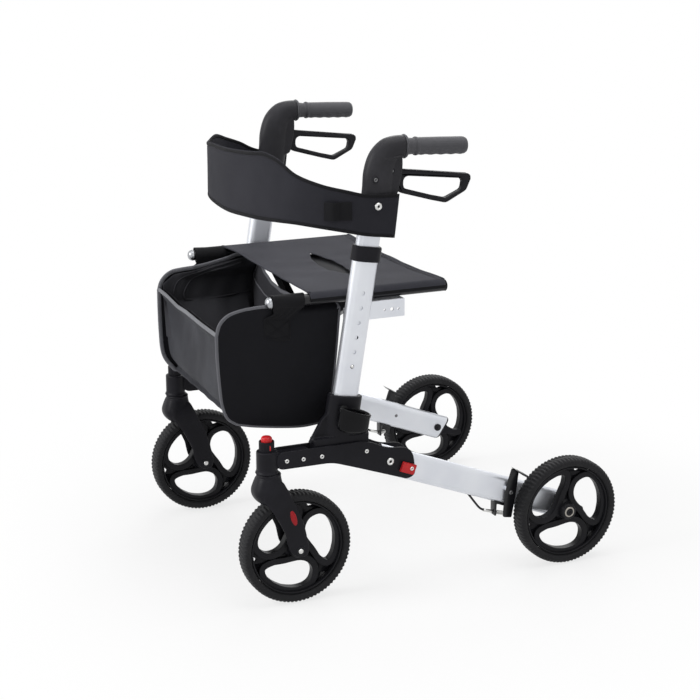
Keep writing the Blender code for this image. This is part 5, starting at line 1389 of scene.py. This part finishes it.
# %% [markdown]
# The bag hangs from the front ends of the rails. Each side panel stands up beside the frame, with
# large rounded corners. The two panels differ, because the real bag hangs askew: its far side stands
# further back and its front lower corner is tighter. Both outlines are therefore drawn as four runs,
# front, floor, rear and top, with equally many points, so that a point on one has its partner on the
# other and cloth can be spanned between them.

# %% Bag outlines
BAG_HALF = 199
NEAR_RUNS = (
    ((-117, 474), (-116, 434), (-113, 390), (-109, 354), (-100, 330), (-83, 317)),
    ((-83, 317), (-43, 308), (30, 298), (79, 301)),
    ((79, 301), (88, 347), (97, 430), (103, 500)),
    ((103, 500), (98, 509), (60, 511), (0, 513), (-36, 515), (-58, 514), (-76, 512), (-97, 506), (-111, 493), (-117, 474)),
)
FAR_RUNS = (
    ((-91, 462), (-91, 420), (-90, 375), (-88, 348), (-82, 328), (-66, 306)),
    ((-66, 306), (-30, 298), (30, 297), (79, 301)),
    ((79, 301), (88, 347), (97, 430), (103, 505)),
    ((103, 505), (98, 516), (65, 521), (41, 515), (1, 507), (-39, 501), (-69, 493), (-85, 479), (-91, 462)),
)
RUN_COUNTS = (44, 40, 40, 64)


def bag_outline(runs):
    """The four runs as smooth curves, each resampled evenly to its own count, as one closed line."""
    return np.vstack([
        evenly(smooth_curve(run, 10), count + 1)[:-1] for run, count in zip(runs, RUN_COUNTS)
    ])


near_line, far_line = bag_outline(NEAR_RUNS), bag_outline(FAR_RUNS)
print("side panels:", len(near_line), "points round each, near depth", round(float(np.ptp(near_line[:, 0]))), "mm")

# %% [markdown]
# A side panel is stiffened cloth, so it stays flat in its plane but bellies a little. Its grid runs in
# rings from its middle to its outline: the point at ring share r is middle + r (outline - middle), and
# its X is the panel's plane plus a belly of (1 - r squared) and two faint diagonal waves. The top rear
# corner of the far panel passes inside its rail.

# %% Bag side panels
def side_panel_grid(line, sign):
    """Rings out to the outline; x = plane + 3 (1 - r^2) + waves, pulled in towards the bag's foot."""
    share = np.linspace(0, 1, 30)[:, None]
    middle = np.array([-8.0, 405.0])
    y = middle[0] + share * (line[:, 0] - middle[0])
    z = middle[1] + share * (line[:, 1] - middle[1])
    belly = 3.0 * (1 - share**2) * np.cos((z - 405) / 95)
    folds = 0.9 * np.sin(y / 19 + z / 47) * (1 - share**4) + 0.5 * np.sin(y / 9 - z / 60) * (1 - share**4)
    return np.stack([sign * (side_plane(y, z, sign) + belly + folds), y, z], 2)


def side_plane(y, z, sign):
    """Half the bag's width at a place on a side panel."""
    foot = 5.0 * np.clip((345 - z) / 45, 0, 1) ** 2
    inside_near = 17.0 * np.clip((z - 500) / 12, 0, 1) * np.clip((y - 22) / 24, 0, 1)
    inside_far = 17.0 * np.clip((z - 480) / 16, 0, 1) * np.clip((y + 62) / 34, 0, 1)
    return BAG_HALF - foot - (inside_near if sign > 0 else inside_far)


side_panels = []
for side_name, sign, line in (("left", 1, near_line), ("right", -1, far_line)):
    panel = grid_mesh(f"{side_name}_bag_side", side_panel_grid(line, sign), caps=False, weld=True, flip=sign < 0)
    panel_piece = put(f"{side_name}_bag_side", panel, BAG_CLOTH)
    solid = panel_piece.modifiers.new("thickness", "SOLIDIFY")
    solid.thickness = 2.0 * MM
    solid.offset = -1.0
    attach(panel_piece, "seat_cloth")
    side_panels.append(panel_piece)

# %% [markdown]
# One wide piece of cloth runs from the front's top edge down, under the floor and up the back. It is
# spanned between the two outlines: the point at run u and share s across is the mean of the partners,
# weighted by s. The cloth then slackens: the front dips in a shallow V between its corners, and the
# back's top edge, which nothing holds, sags forwards and down. Below its top the front is sewn in
# 13 mm behind the side panels' edges.

# %% Bag front, floor and back
ACROSS = np.linspace(-1, 1, 73)
FRONT_DIP = np.array((
    (-1.0, 0, 0), (-0.85, 6, -5), (-0.60, 14, -17), (-0.30, 15, -15), (0.0, 8, -9), (0.30, 3, -5), (0.75, 0, -1), (1.0, 0, 0),
))
first_floor, first_rear, first_top = np.cumsum(RUN_COUNTS)[:3]


def spanned(rows, slack):
    """Cloth between rows of the two outlines, slack inwards by ``slack`` mm in the middle."""
    near, far = near_line[rows][:, None, :], far_line[rows][:, None, :]
    share = (ACROSS[None, :, None] + 1) / 2
    spot = near * share + far * (1 - share)
    pull = np.array([-5.0, 405.0]) - spot
    pull /= np.linalg.norm(pull, axis=2, keepdims=True)
    inner = (1 - ACROSS**2)[None, :, None]
    down = np.linspace(0, 1, len(rows))[:, None, None]
    wave = 1.0 * np.sin(ACROSS * 8)[None, :, None] * np.sin(down * 5 + 1) + 0.5 * np.sin(ACROSS[None, :, None] * 21 + down * 8)
    spot = spot + pull * (slack * np.sin(math.pi * np.clip(down * 0.9 + 0.1, 0, 1)) + wave) * inner
    half = np.where(ACROSS > 0, side_plane(spot[..., 0], spot[..., 1], 1), side_plane(spot[..., 0], spot[..., 1], -1))
    return np.concatenate([(ACROSS * (half - 1.2))[..., None], spot], 2)


front_rows = np.arange(0, first_floor + 1)
front_grid = spanned(front_rows, 6.0)
fade = np.linspace(1, 0, len(front_rows)) ** 1.6
front_grid[:, :, 1] += np.interp(ACROSS, FRONT_DIP[:, 0], FRONT_DIP[:, 1])[None, :] * fade[:, None]
front_grid[:, :, 2] += np.interp(ACROSS, FRONT_DIP[:, 0], FRONT_DIP[:, 2])[None, :] * fade[:, None]
below_top = np.linspace(0, 1, len(front_rows))[:, None]
front_grid[:, :, 1] += 13.0 * np.clip(below_top / 0.14, 0, 1) * np.clip((1 - below_top) / 0.05, 0, 1)

rear_rows = np.arange(first_floor, first_top + 1)
rear_grid = spanned(rear_rows, 5.0)
rise = np.clip((rear_grid[:, :, 2] - 320) / 180, 0, 1) ** 1.5 * (rear_grid[:, :, 1] > 60)
slackness = (1 - ACROSS**2)[None, :]
rear_grid[:, :, 1] -= 26 * slackness * rise
rear_grid[:, :, 2] -= (14 * slackness - 6 * np.clip(-ACROSS, 0, 1)[None, :]) * rise

front = soft_sheet("bag_front_mesh", [front_grid], 1.6, MESH_CLOTH)
back = soft_sheet("bag_floor_and_back", [rear_grid], 1.6, LINER_CLOTH)
for cloth in (front, back):
    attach(cloth, "seat_cloth")
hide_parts("bag")
print("front", front_grid.shape, "floor and back", rear_grid.shape)

# %% [markdown]
# Inside, the far panel is lined. The lining hangs flat for the upper third and then folds inwards,
# because the bag stands empty, so that a paler slope faces up out of the mouth. Piping is sewn on it in
# a rounded line below the top edge.

# %% Bag lining
def lining_grid():
    """Down the far panel: x stays at the panel to the crease at 437 mm, then slopes in by 0.95 per mm."""
    down = np.concatenate([np.linspace(0, 0.42, 16), np.linspace(0.44, 1, 30)])[:, None]
    run = np.linspace(0, 1, 66)[None, :]
    top = np.interp(run, (0, 0.12, 0.3, 0.6, 0.85, 1), (474, 490, 498, 508, 515, 515))
    z = top + (372 - top) * down
    y = -85 + 178 * run + 4 * down
    crease = 437 + 4 * np.sin(run * 5) + 10 * run**2
    below = np.clip(crease - z, 0, None)
    soft = below**2 / (below + 7)
    folds = 1.6 * np.sin(y / 15 + z / 21) * np.exp(-((z - 425) / 30) ** 2) + 0.8 * np.sin(y / 7 - z / 16)
    ends = np.clip(run / 0.08, 0, 1) * np.clip((1 - run) / 0.08, 0, 1)
    x = 4.4 - side_plane(y, z, -1)
    x = x + (0.95 * soft * np.clip(1.4 - down * 0.4, 0, 1) + folds + 1.0) * ends
    return np.stack([x, y + 0 * x, z + 0 * x], 2)


lining = soft_sheet("bag_lining", [lining_grid()], 1.2, LINER_CLOTH)
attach(lining, "seat_cloth")

# %% [markdown]
# Grey binding is folded over the raw edges. It is a flat oval section carried along each edge: right
# round both side panels, along the dipped top of the mesh, and along the slack top of the back, where
# it is black. Along the mesh's top it is a lighter copy of the grey binding, a painted highlight where
# that edge catches the light.

# %% Binding
binding_section = rounded_box(2.1, 4.0, 2.6, 16)


def panel_edge(line, sign):
    """A side panel's outline in its own plane, as points (x, y, z)."""
    return np.column_stack([sign * side_plane(line[:, 0], line[:, 1], sign), line])


for side_name, sign, line in (("left", 1, near_line), ("right", -1, far_line)):
    edge = panel_edge(evenly(line, 240, closed=True), sign)
    outward = edge - edge.mean(0)
    ring = grid_mesh(
        f"{side_name}_bag_binding", carried(edge, binding_section, up=outward, closed=True), wrap_rows=True
    )
    piece = put(f"{side_name}_bag_binding", ring, BINDING)
    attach(piece, "seat_cloth")
top_edge = front_grid[0] + np.array([0, -0.5, 1.0])
# The mesh's top binding is the grey binding painted lighter, as a painted highlight.
roll("bag_front_binding", evenly(top_edge, 90), 1.9, 3.8, HIGHLIT_BINDING)
# A narrow dark strip of bag cloth stands 9 mm behind the mesh's top edge and 3.5 mm below it.
roll("bag_front_inner_hem", evenly(front_grid[0] + np.array([0, 9.0, -3.5]), 90), 0.8, 6.0, BAG_CLOTH)
rear_edge = rear_grid[-1]
roll("bag_rear_binding", evenly(rear_edge, 90), 1.9, 3.6, BINDING)
roll("bag_rear_seam", evenly(rear_grid[-9] + np.array([0, -1.6, 0]), 90), 1.1, 1.6, BINDING)

# %% [markdown]
# The seams of the lining are piped in the same way, with a thin round cord under the cloth. They follow
# the panel's edge at a distance and turn down at the front in a wide curve.

# %% Piping on the lining
PIPING = np.array((
    (66, 506), (40, 500), (0, 493), (-26, 480), (-41, 461), (-44, 446), (-38, 440), (0, 438), (40, 440), (88, 446),
), float)
SECOND_SEAM = np.array(((62, 513), (40, 508), (0, 500), (-34, 490), (-56, 476), (-64, 456), (-60, 436)), float)
for name, seam, thick in (("bag_lining_piping", PIPING, 1.7), ("bag_lining_seam", SECOND_SEAM, 1.2)):
    line = evenly(smooth_curve(seam, 10), 80)
    x = 6.4 - side_plane(line[:, 0], line[:, 1], -1)
    path = np.column_stack([x, line])
    piece = put(name, grid_mesh(name, carried(path, rounded_box(thick, thick, 2.0, 12), up=(1, 0, 0))), LINER_CLOTH)
    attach(piece, "seat_cloth")

# %% [markdown]
# Two loops of webbing hang the bag on the rails. Each is a sleeve round the rail that is drawn in
# below it and sewn to the side panel with a crossed box of stitches. The sleeve is one surface: its path
# goes up the panel, round the rail and down inside, and at each place it has its own width and its own
# place along the rail.

# %% Hanging loops
def loop_surface():
    """Rows follow the path in the X-Z plane; columns run over the width, whose middle shifts with height."""
    turn = np.linspace(math.radians(-48), math.radians(205), 26)
    radius = RAIL_RADIUS + 2.0
    round_rail = np.stack([RAIL_X + radius * np.cos(turn), RAIL_Z + radius * np.sin(turn)], 1)
    path = np.vstack([[[202.6, 455]], [[203.2, 475]], [[203.6, 494]], [[206.0, 503]], round_rail, [[193.5, 508]], [[195, 496]]])
    path = evenly(smooth_curve(path, 6), 96)
    width = np.linspace(-1, 1, 41)
    height = path[:, 1]
    first_leg = np.arange(96) < 60
    low = np.where(first_leg, height, 540)
    half = np.interp(low, (455, 494, 503, 514, 540), (24.3, 24.5, 20.0, 27.5, 30.0))
    middle = np.interp(low, (455, 494, 503, 516, 540), (-11, -11, 2.0, 7.0, 7.4))
    gather = np.exp(-((low - 503) / 9) ** 2)
    x = path[:, :1] + 0.6 * gather[:, None] * np.sin(width * 13)[None, :]
    y = middle[:, None] + half[:, None] * width[None, :]
    z = path[:, 1:] - 0.07 * (width * half[:, None]) * first_leg[:, None] + 0.4 * gather[:, None] * np.cos(width * 9)[None, :]
    return np.stack([x, y, z + 0 * x], 2)


loop_grid = loop_surface()
for side_name, sign in SIDES:
    sided = loop_grid * np.array([sign, 1, 1]) + np.array([0, 0 if sign > 0 else 4, 0])
    loop = soft_sheet(f"{side_name}_bag_loop", [sided[::-1] if sign > 0 else sided], 1.7, WEBBING)
    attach(loop, "seat_cloth")


def stitches(name, start, end, x, sign, pitch=3.2):
    """A row of short raised threads on a side panel, from (y, z) to (y, z)."""
    start, end = np.array(start, float), np.array(end, float)
    count = max(2, int(np.linalg.norm(end - start) / pitch))
    ahead = (end - start) / np.linalg.norm(end - start)
    turn = np.linspace(0, 2 * math.pi, 6, endpoint=False)
    share = np.array([-1.0, -0.6, 0.6, 1.0])
    size = np.array([0.15, 0.5, 0.5, 0.15])
    across = np.array([-ahead[1], ahead[0]])
    middles = start + ahead * pitch * (np.arange(count)[:, None] + 0.5)
    spot = middles[:, None, None, :] + ahead * (share * pitch * 0.36)[None, :, None, None]
    spot = spot + across * (size[:, None] * np.cos(turn))[None, :, :, None]
    depth = np.broadcast_to(x + (size[:, None] * np.sin(turn))[None], spot.shape[:3])
    grids = np.concatenate([sign * depth[..., None], spot], 3)
    return fuse(name, *[grid_mesh(name, grid, flip=sign < 0) for grid in grids])


patch = ((-33, 494), (11, 490), (11, 458), (-33, 462))
rows = [stitches("row", a, b, 205.3, 1) for a, b in zip(patch, patch[1:] + patch[:1])]
rows += [stitches("row", patch[0], patch[2], 205.3, 1), stitches("row", patch[1], patch[3], 205.3, 1)]
patch_mesh = fuse("left_loop_stitches", *rows)
for piece in both_sides("loop_stitches", patch_mesh, BAG_CLOTH, "frame"):
    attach(piece, "seat_cloth")

# %% [markdown]
# The backrest is a band of laminated cloth that goes round the front from one handle to the other. It
# stands on edge and grows taller in the middle, and it hangs a little lower at its far end. Its path and
# its lower and upper edges were measured at places along it. Its section is a slim rounded box, drawn in
# where the rims are stitched.

# %% Backrest
BAND_PLAN = np.array((
    (260.2, 183, 628, 702), (260.2, 130, 635, 705), (256, 92, 643, 714), (241, 54, 650, 724),
    (212, 21, 654, 739), (180, 4, 653, 759), (140, -8, 650, 767), (90, -17, 647, 762), (0, -23, 642, 755),
    (-90, -17, 642, 750), (-140, -8, 643, 744), (-175, 6, 643, 742), (-205, 30, 643, 747),
    (-236, 62, 643, 735), (-254, 95, 640, 722), (-260.2, 130, 635, 705), (-260.2, 190, 627, 694),
), float)
band_line = evenly(smooth_curve(BAND_PLAN, 14), 221)
band_ahead = np.gradient(band_line[:, :2], axis=0)
band_ahead /= np.linalg.norm(band_ahead, axis=1, keepdims=True)
band_normal = np.stack([-band_ahead[:, 1], band_ahead[:, 0]], 1)
print("band length round its middle:", round(float(np.linalg.norm(np.diff(band_line[:, :2], axis=0), axis=1).sum())), "mm")


def on_band(along, up, out):
    """A point of the band: ``along`` 0 to 1, ``up`` -1 to 1 between its edges, ``out`` mm off its face."""
    step = np.clip(along, 0, 1) * (len(band_line) - 1)
    places = np.arange(len(band_line))
    x, y, low, high = (np.interp(step, places, band_line[:, k]) for k in range(4))
    normal_x, normal_y = (np.interp(step, places, band_normal[:, k]) for k in range(2))
    z = (low + high) / 2 + (high - low) / 2 * up
    lean = (z - 665) * 0.12 * (np.clip((y - 150) / 32, 0, 1))
    return np.stack([x - normal_x * out, y - normal_y * out + lean, z + 0 * x], -1)


def band_grid():
    """At each place along the band: up one face, over the rim, down the other and under."""
    along = np.linspace(0, 1, 221)[:, None]
    turn = np.linspace(0, 2 * math.pi, 72, endpoint=False)[None, :]
    c, s = np.cos(turn), np.sin(turn)
    up = np.sign(s) * np.abs(s) ** 0.35
    thick = 1.9 * np.sign(c) * np.abs(c) ** 0.5
    seam = 1 - 0.5 * np.exp(-(((np.abs(up) - 0.88) / 0.03) ** 2))
    ends = np.clip((0.5 - np.abs(along - 0.5)) / 0.004, 0.25, 1) ** 0.5
    wander = 0.30 * np.sin(along * 19 + up * 1.5) + 0.10 * np.sin(along * 57 - up * 3)
    return on_band(along + 0 * turn, up + 0 * along, thick * seam * ends + wander)


band = put("backrest_band", grid_mesh("backrest_band", band_grid(), flip=True), BAND_CLOTH)
band_tapes = []
for name, height in (("top", 0.93), ("bottom", -0.93)):
    places = np.linspace(0.004, 0.996, 220)
    tape_path = on_band(places, np.full(220, height), np.zeros(220))
    tape_section = rounded_box(2.5, 2.9, 2.6, 16)
    tape = grid_mesh(f"backrest_{name}_rim", carried(tape_path, tape_section, up=(0, 0, 1)))
    band_tapes.append(put(f"backrest_{name}_rim", tape, WEBBING))

# %% [markdown]
# Near its end the band carries an elastic tab, whose front half stands out in a loop and whose rear half
# is sewn flat. A cap screw holds the band's end to the handle.


# %% Band tab and screws
def tab_grid(sign):
    """A strip on the band's outer face: its front half arches out by 5 mm, its rear half lies flat."""
    y = np.linspace(57, 101, 40)[:, None]
    z = np.linspace(664, 695, 17)[None, :]
    near = band_line[: 60] if sign > 0 else band_line[-60:][::-1]
    x = np.interp(y[:, 0], near[::-1, 1], np.abs(near[::-1, 0]))[:, None]
    share = np.clip((y - 58) / 22, 0, 1)
    arch = 5.0 * np.sin(math.pi * share) ** 1.3
    return np.stack([sign * (x + 3.0 + arch + 0 * z), y + 0 * z, z + 0 * y], 2)


for side_name, sign in SIDES:
    strip = tab_grid(sign)
    tab = soft_sheet(f"{side_name}_band_tab", [strip[:, ::-1] if sign > 0 else strip], 1.4, WEBBING)
    band_tapes.append(tab)
for piece in [band, *band_tapes]:
    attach(piece, "left_handle")
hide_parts("backrest")
screw = dome_profile(6.7, 3.0, 2.6)
left_screw = turned_mesh("band_screw", screw, (262.3, 148, 683.6), "X", 40)
for side_name, sign in SIDES:
    screw_mesh = left_screw if sign > 0 else mirrored(left_screw, "right_band_screw")
    head = put(f"{side_name}_band_screw", screw_mesh, BRIGHT)
    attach(head, f"{side_name}_handle")

# %% [markdown]
# When the frame folds, the right side comes 270 mm towards the left one and the rails come together. The
# seat, the bag and their trimmings would then gather towards the left rail, and the band towards the left
# handle. Here each such piece only gets a mesh of its own, and the share of its width that would be kept
# is worked out and printed: the width left between the supports, over the width at rest.


# %% Shares of cloth width for the folded frame
RAILS_APART_FOLDED = 150.2
BAND_END_X = 262.3
FRAME_TRAVEL = 270.0
CLOTH_STARTS = ("seat_cloth_sheet", "seat_pull", "seat_front_hem", "seat_rear", "left_seat_welt", "right_seat_welt",
                "left_bag", "right_bag", "bag_", "left_loop", "right_loop")
BAND_STARTS = ("backrest_", "left_band_tab", "right_band_tab")
gathers = (
    (CLOTH_STARTS, "seat_cloth", RAIL_X, RAILS_APART_FOLDED / (2 * RAIL_X)),
    (BAND_STARTS, "left_handle", BAND_END_X, 1 - FRAME_TRAVEL / (2 * BAND_END_X)),
)
for starts, body_name, anchor_x, kept in gathers:
    pieces = [piece for piece in bpy.data.objects if piece.name.startswith(starts) and piece.get("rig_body") == body_name]
    for piece in pieces:
        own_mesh(piece)
    print(body_name, "gathers", len(pieces), "cloth pieces to", round(kept, 3), "of their width")

# %% [markdown]
# The studio is a pale floor and a white surround. Large soft lamps stand to the front, overhead and
# behind, at a level where a colour renders about as it is written. The floor turns fully white a little
# way from the walker, so that only the soft shadow under the wheels shows where it stands. The surround
# is white to the camera and in reflections, but lights the walker only faintly.


# %% Studio
def lamp(name, at, size, power, target=(0, 0, 0.4)):
    data = bpy.data.lights.new(name, "AREA")
    data.shape = "RECTANGLE"
    data.size, data.size_y = size
    data.energy = power
    made = bpy.data.objects.new(name, data)
    bpy.context.scene.collection.objects.link(made)
    made.location = at
    made.rotation_euler = (Vector(target) - Vector(at)).to_track_quat("-Z", "Y").to_euler()


lamp("key", (-0.2, -3.3, 2.0), (1.8, 1.8), 80)
lamp("overhead", (0.3, 0.3, 3.0), (2.4, 2.4), 46)
lamp("fill", (3.3, -0.4, 1.6), (1.8, 1.8), 9)
lamp("behind", (-2.6, 1.8, 2.2), (2.0, 2.0), 26)


def white_surround():
    """The world: strength 1 for camera, glossy and transmitted rays, and 0.24 as a light."""
    world = bpy.data.worlds.new("studio")
    bpy.context.scene.world = world
    world.use_nodes = True
    tree = world.node_tree
    rays = tree.nodes.new("ShaderNodeLightPath")
    seen = Wire(tree, rays.outputs["Is Camera Ray"])
    for kind in ("Is Glossy Ray", "Is Transmission Ray"):
        seen = seen.math("MAXIMUM", Wire(tree, rays.outputs[kind]))
    tree.links.new((seen * 0.76 + 0.24).socket, tree.nodes["Background"].inputs["Strength"])
    tree.nodes["Background"].inputs["Color"].default_value = (1, 1, 1, 1)


def white_floor():
    """A matt floor mixed with white light, more of it with distance from the walker's middle."""
    data = bpy.data.meshes.new("floor")
    data.from_pydata([(-9, -9, 0), (9, -9, 0), (9, 9, 0), (-9, 9, 0)], [], [(0, 1, 2, 3)])
    floor = bpy.data.objects.new("floor", data)
    bpy.context.scene.collection.objects.link(floor)
    paint = Paint("studio floor", (0.92, 0.92, 0.92), 0.8)
    rays = paint.tree.nodes.new("ShaderNodeLightPath")
    seen = Wire(paint.tree, rays.outputs["Is Camera Ray"])
    for kind in ("Is Glossy Ray", "Is Transmission Ray"):
        seen = seen.math("MAXIMUM", Wire(paint.tree, rays.outputs[kind]))
    spot = paint.where()
    distance = spot.node("ShaderNodeVectorMath", {"operation": "LENGTH"}, 1, _0=spot)
    glow = paint.tree.nodes.new("ShaderNodeEmission")
    blend = paint.tree.nodes.new("ShaderNodeMixShader")
    paint.tree.links.new((seen * (distance.between(0.45, 0.95) * 0.25 + 0.75)).socket, blend.inputs[0])
    paint.tree.links.new(paint.shader.outputs[0], blend.inputs[1])
    paint.tree.links.new(glow.outputs[0], blend.inputs[2])
    paint.tree.links.new(blend.outputs[0], paint.tree.nodes["Material Output"].inputs["Surface"])
    data.materials.append(paint.material)


white_surround()
white_floor()
bpy.context.scene.view_settings.view_transform = "Standard"

# %% [markdown]
# Each cloth piece is listed with the size it was cut to, in calls that do nothing with it. Its width and
# length are those of the flat panel before it was sewn or hung: the seat from rail to rail with both
# turned edges, the bag's panels from their outlines, and the band along the line it follows. The area is
# given where the cut isn't a rectangle.


# %% Cloth sizes
def flat_area(grid):
    """The area of a grid of points in square metres: each cell is two triangles."""
    a, b = grid[1:, :-1] - grid[:-1, :-1], grid[:-1, 1:] - grid[:-1, :-1]
    c, d = grid[1:, :-1] - grid[1:, 1:], grid[:-1, 1:] - grid[1:, 1:]
    cells = np.linalg.norm(np.cross(a, b), axis=2) + np.linalg.norm(np.cross(c, d), axis=2)
    return float(cells.sum() / 2) * MM * MM


def cloth(name, flat, held, rests_on, area=None, trims=()):
    """One sheet's cut size in metres, what it hangs on, its area and the trimmings sewn to it: none of these is used.
    """


rails = ["left_seat_rail_finished", "right_seat_rail_finished"]
cloth("seat_cloth_sheet", (0.443, 0.256), "stretched", rails, 0.1093, (
    "seat_front_hem", "seat_rear_hem", "left_seat_welt", "right_seat_welt", "seat_rear_seam_0", "seat_rear_seam_1",
))
cloth("seat_pull_strap", (0.092, 0.228), "hung", ["seat_cloth_sheet"])
cloth("left_bag_side", (0.222, 0.219), "hung", ["left_bag_loop"], 0.0427, ("left_bag_binding", "left_loop_stitches"))
cloth("right_bag_side", (0.196, 0.226), "hung", ["right_bag_loop"], 0.0387, ("right_bag_binding", "right_loop_stitches"))
cloth("bag_front_mesh", (0.402, 0.163), "hung", ["left_bag_side", "right_bag_side"], 0.0630,
      ("bag_front_binding", "bag_front_inner_hem"))
cloth("bag_floor_and_back", (0.400, 0.352), "hung", ["left_bag_side", "right_bag_side"], 0.1348,
      ("bag_rear_binding", "bag_rear_seam"))
cloth("bag_lining", (0.205, 0.155), "hung", ["right_bag_side"], 0.0304, ("bag_lining_piping", "bag_lining_seam"))
for side_name, _ in SIDES:
    cloth(f"{side_name}_bag_loop", (0.055, 0.143), "hung", [f"{side_name}_seat_rail_finished"], 0.0073)
    cloth(f"{side_name}_band_tab", (0.031, 0.050), "gathered", ["backrest_band"])
cloth("backrest_band", (0.800, 0.112), "stretched", ["left_handle_moulding", "right_handle_moulding"], 0.0748,
      ("backrest_top_rim", "backrest_bottom_rim"))
print("seat cloth:", round(flat_area(np.concatenate([seat_grids[0], seat_grids[1][1:]])), 4), "square metres")
print("bag front:", round(flat_area(front_grid), 4), "floor and back:", round(flat_area(rear_grid), 4))
